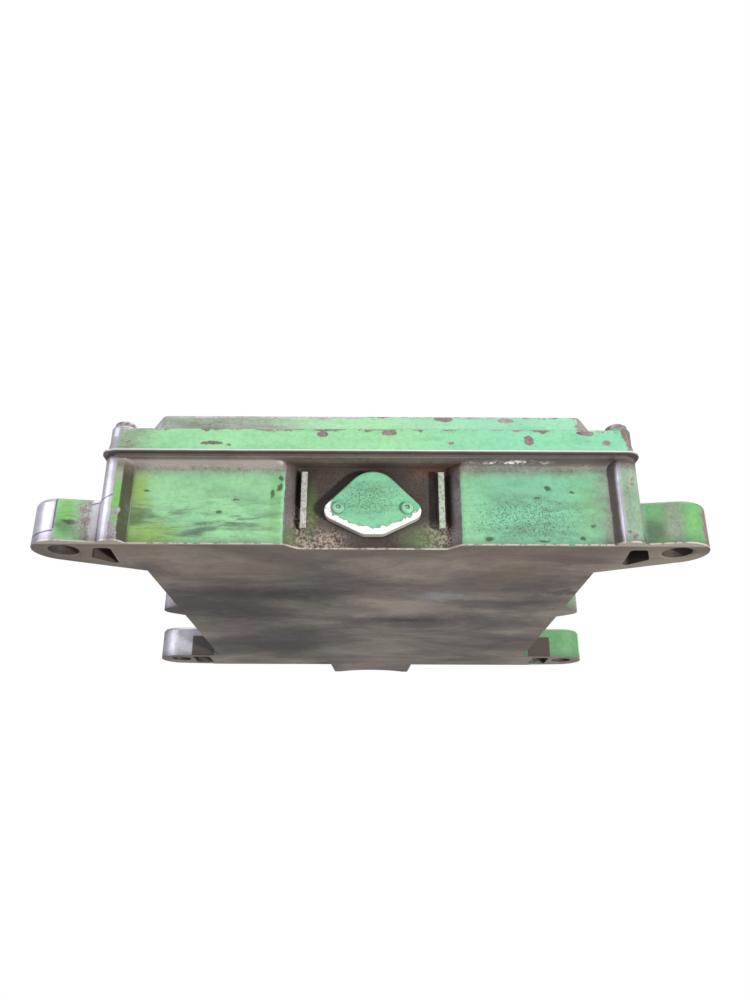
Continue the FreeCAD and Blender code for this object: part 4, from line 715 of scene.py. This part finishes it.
seal_rubber = plain_finish("seal_rubber", (0.022, 0.022, 0.022), (0.04, 0.04, 0.038), 0.4, 0.7)
dress("cover_gasket", seal_rubber)
dress("port_gasket", seal_rubber)
flange_rubber = plain_finish("flange_silicone", (0.30, 0.075, 0.035), (0.38, 0.11, 0.055), 0.3,
                             0.6)
for side in ("a", "b"):
    dress(f"connector_{side}_seal", flange_rubber)

# Breather: a disc of white porous film that lets the case breathe but keeps water out. A moulded
# black ring clamps it in its seat behind the port plate.
membrane = plain_finish("porous_film", (0.78, 0.78, 0.74), (0.86, 0.86, 0.83), 0.8, 0.8,
                        grain=3.0)
dress("vent_membrane", membrane)
black_plastic = plain_finish("moulded_black", (0.022, 0.022, 0.024), (0.036, 0.036, 0.038), 0.15,
                             0.48, grain=2.4)
dress("vent_ring", black_plastic)

# Connectors: glass-filled black mouldings with gold-flashed pins and a turned brass insert for
# the plug's jackscrew.
contact_metal = plain_finish("gold_flash", (0.72, 0.52, 0.20), (0.80, 0.60, 0.27), 0.6, 0.25, 1.0)
brass = plain_finish("turned_brass", (0.52, 0.38, 0.15), (0.64, 0.48, 0.20), 0.5, 0.33, 1.0)
for side in ("a", "b"):
    dress(f"connector_{side}_shell", black_plastic)
    dress(f"connector_{side}_pins", contact_metal)
    dress(f"connector_{side}_insert", brass)

# Circuit board: green solder mask over glass laminate, screwed to posts cast in the housing. It
# carries moulded chip packages, dipped capacitors, wound coils and drawn metal cans.
board_laminate = plain_finish("solder_mask", (0.014, 0.12, 0.045), (0.022, 0.17, 0.06), 0.08,
                              0.3, Coat_Weight=0.3)
dress("main_board", board_laminate)
chip_plastic = plain_finish("chip_compound", (0.018, 0.018, 0.02), (0.028, 0.028, 0.03), 0.3, 0.55,
                            grain=3.0)
for name in ("processor", "memory_chips", "driver_chips", "pressure_sensor",
             "power_transistors"):
    dress(name, chip_plastic)
for name in ("battery_holder", "service_header"):
    dress(name, black_plastic)
can_metal = plain_finish("drawn_can", (0.60, 0.61, 0.63), (0.72, 0.73, 0.75), 0.2, 0.32, 0.95)
for name in ("crystal", "electrolytic_capacitors", "backup_battery", "plate_rivets"):
    dress(name, can_metal)
dress("film_capacitors", plain_finish("dipped_film", (0.34, 0.035, 0.02), (0.42, 0.05, 0.03), 0.3,
                                      0.28))
ferrite = plain_finish("ferrite", (0.05, 0.05, 0.053), (0.075, 0.075, 0.078), 0.5, 0.6)
dress("inductor_cores", ferrite)
dress("small_components", ferrite)
dress("inductor_windings", plain_finish("enamelled_copper", (0.48, 0.19, 0.07),
                                        (0.58, 0.25, 0.10), 0.9, 0.3, 0.9))
silicone = plain_finish("filled_silicone", (0.30, 0.33, 0.37), (0.36, 0.39, 0.43), 0.4, 0.75)
dress("thermal_pads", silicone)
dress("insulating_strip", silicone)
dress("transistor_clamp", plain_finish("rolled_spring_steel", (0.38, 0.39, 0.41),
                                       (0.46, 0.47, 0.49), 0.3, 0.34, 0.95))

# Rating plate: a thin sheet of brushed and anodised aluminium, left blank. Four small rivets hold
# it to the raised middle of the cover.
plate_metal, recipe = new_material("brushed_plate")
point = millimetre_point(recipe)
corners = recipe.use(corner_finder, Radius=0.0004, Reach=0.002)
brush = recipe.noise(recipe.stretched(point, (0.05, 4.0, 4.0)), 1.0, 3.0, 0.6)
haze = recipe.noise(point, 0.06, 5.0, 0.6)
body = recipe.colour(brush, (0.48, 0.48, 0.47, 1), (0.64, 0.64, 0.62, 1))
body = recipe.colour(recipe.times(recipe.step(haze, 0.52, 0.7), 0.5), body,
                     (0.24, 0.21, 0.17, 1))
body = recipe.colour(recipe.times(corners["Edge"], 0.6), body, (0.8, 0.8, 0.79, 1))
finish_material(recipe, brush, 0.00004, Base_Color=body,
                Roughness=recipe.blend(haze, 0.3, 0.5), Metallic=0.85)
dress("rating_plate", plate_metal)

# Studio: a pale floor that is seen only from above, soft lights all round, and one small light
# from low on the right that throws the shadows of the ribs and the port plate.
floor_paint, recipe = new_material("pale_floor")
grain = recipe.noise(millimetre_point(recipe), 0.01, 2.0, 0.5)
tone = recipe.colour(grain, (0.78, 0.78, 0.78, 1), (0.82, 0.82, 0.82, 1))
matt = recipe.add("ShaderNodeBsdfPrincipled", {"Base Color": tone, "Roughness": 0.8}, None)
seen = recipe.add("ShaderNodeLightPath", output=0)
behind = recipe.add("ShaderNodeNewGeometry", output=6)
shown = recipe.times(seen, recipe.math("SUBTRACT", 1.0, behind))
clear = recipe.add("ShaderNodeBsdfTransparent", output=0)
mixed = recipe.add("ShaderNodeMixShader", {0: shown, 1: clear, 2: matt.outputs[0]})
recipe.add("ShaderNodeOutputMaterial", {"Surface": mixed}, None)
floor_mesh = bpy.data.meshes.new("studio_floor")
floor_half = 9.0
floor_z = -0.0005
floor_corners = [(-floor_half, -floor_half, floor_z), (floor_half, -floor_half, floor_z),
                 (floor_half, floor_half, floor_z), (-floor_half, floor_half, floor_z)]
floor_mesh.from_pydata(floor_corners, [], [(0, 1, 2, 3)])
floor_mesh.materials.append(floor_paint)
studio_floor = bpy.data.objects.new("studio_floor", floor_mesh)
bpy.context.scene.collection.objects.link(studio_floor)

world = bpy.data.worlds.new("studio")
world.use_nodes = True
recipe = Recipe(world.node_tree)
world.node_tree.nodes.clear()
looked_at = recipe.add("ShaderNodeLightPath", output=0)
ambient = recipe.add("ShaderNodeBackground", {"Color": (0.93, 0.95, 1.0, 1), "Strength": 0.42})
backdrop = recipe.add("ShaderNodeBackground", {"Color": (1, 1, 1, 1), "Strength": 1.0})
both = recipe.add("ShaderNodeMixShader", {0: looked_at, 1: ambient, 2: backdrop})
recipe.add("ShaderNodeOutputWorld", {"Surface": both}, None)
bpy.context.scene.world = world


def studio_light(name, towards, distance, size, watts, tint=(1, 1, 1)):
    """A square light in the given direction from the middle of the case, aimed at it."""
    data = bpy.data.lights.new(name, "AREA")
    data.shape = "SQUARE"
    data.size = size
    data.energy = watts
    data.color = tint
    light = bpy.data.objects.new(name, data)
    direction = Vector(towards).normalized()
    middle = Vector((0, -0.1, 0.03))
    light.location = middle + direction * distance
    light.rotation_euler = direction.to_track_quat("Z", "Y").to_euler()
    light.visible_camera = False
    bpy.context.scene.collection.objects.link(light)
    return light


studio_light("key", (0.95, -1.0, -0.5), distance=1.3, size=0.13, watts=21,
             tint=(1.0, 0.985, 0.95))
studio_light("left_fill", (-1.0, -0.55, 0.15), distance=1.1, size=0.7, watts=5,
             tint=(0.90, 0.90, 1.0))
studio_light("low_fill", (0.1, -0.5, -1.0), distance=1.4, size=1.2, watts=4.5,
             tint=(1.0, 0.97, 0.94))
studio_light("back_fill", (0.3, 1.0, 0.5), distance=1.4, size=1.0, watts=14)

ceiling = bpy.data.objects.new("ceiling", bpy.data.lights.new("ceiling", "SUN"))
ceiling.data.energy = 2.3
ceiling.data.angle = radians(70.0)
ceiling.rotation_euler = Vector((0.2, -0.1, 1.0)).to_track_quat("Z", "Y").to_euler()
bpy.context.scene.collection.objects.link(ceiling)

camera = bpy.data.objects.new("camera", bpy.data.cameras.new("camera"))
camera.data.lens = 29.07
camera.data.clip_start = 0.01
looking_up = 22.43
roll = -0.19
heading = -0.22
camera.location = (0.001, -0.463, -0.116)
camera.rotation_euler = (radians(90 + looking_up), radians(roll), radians(heading))
bpy.context.scene.collection.objects.link(camera)
bpy.context.scene.camera = camera
bpy.context.scene.view_settings.view_transform = "Standard"
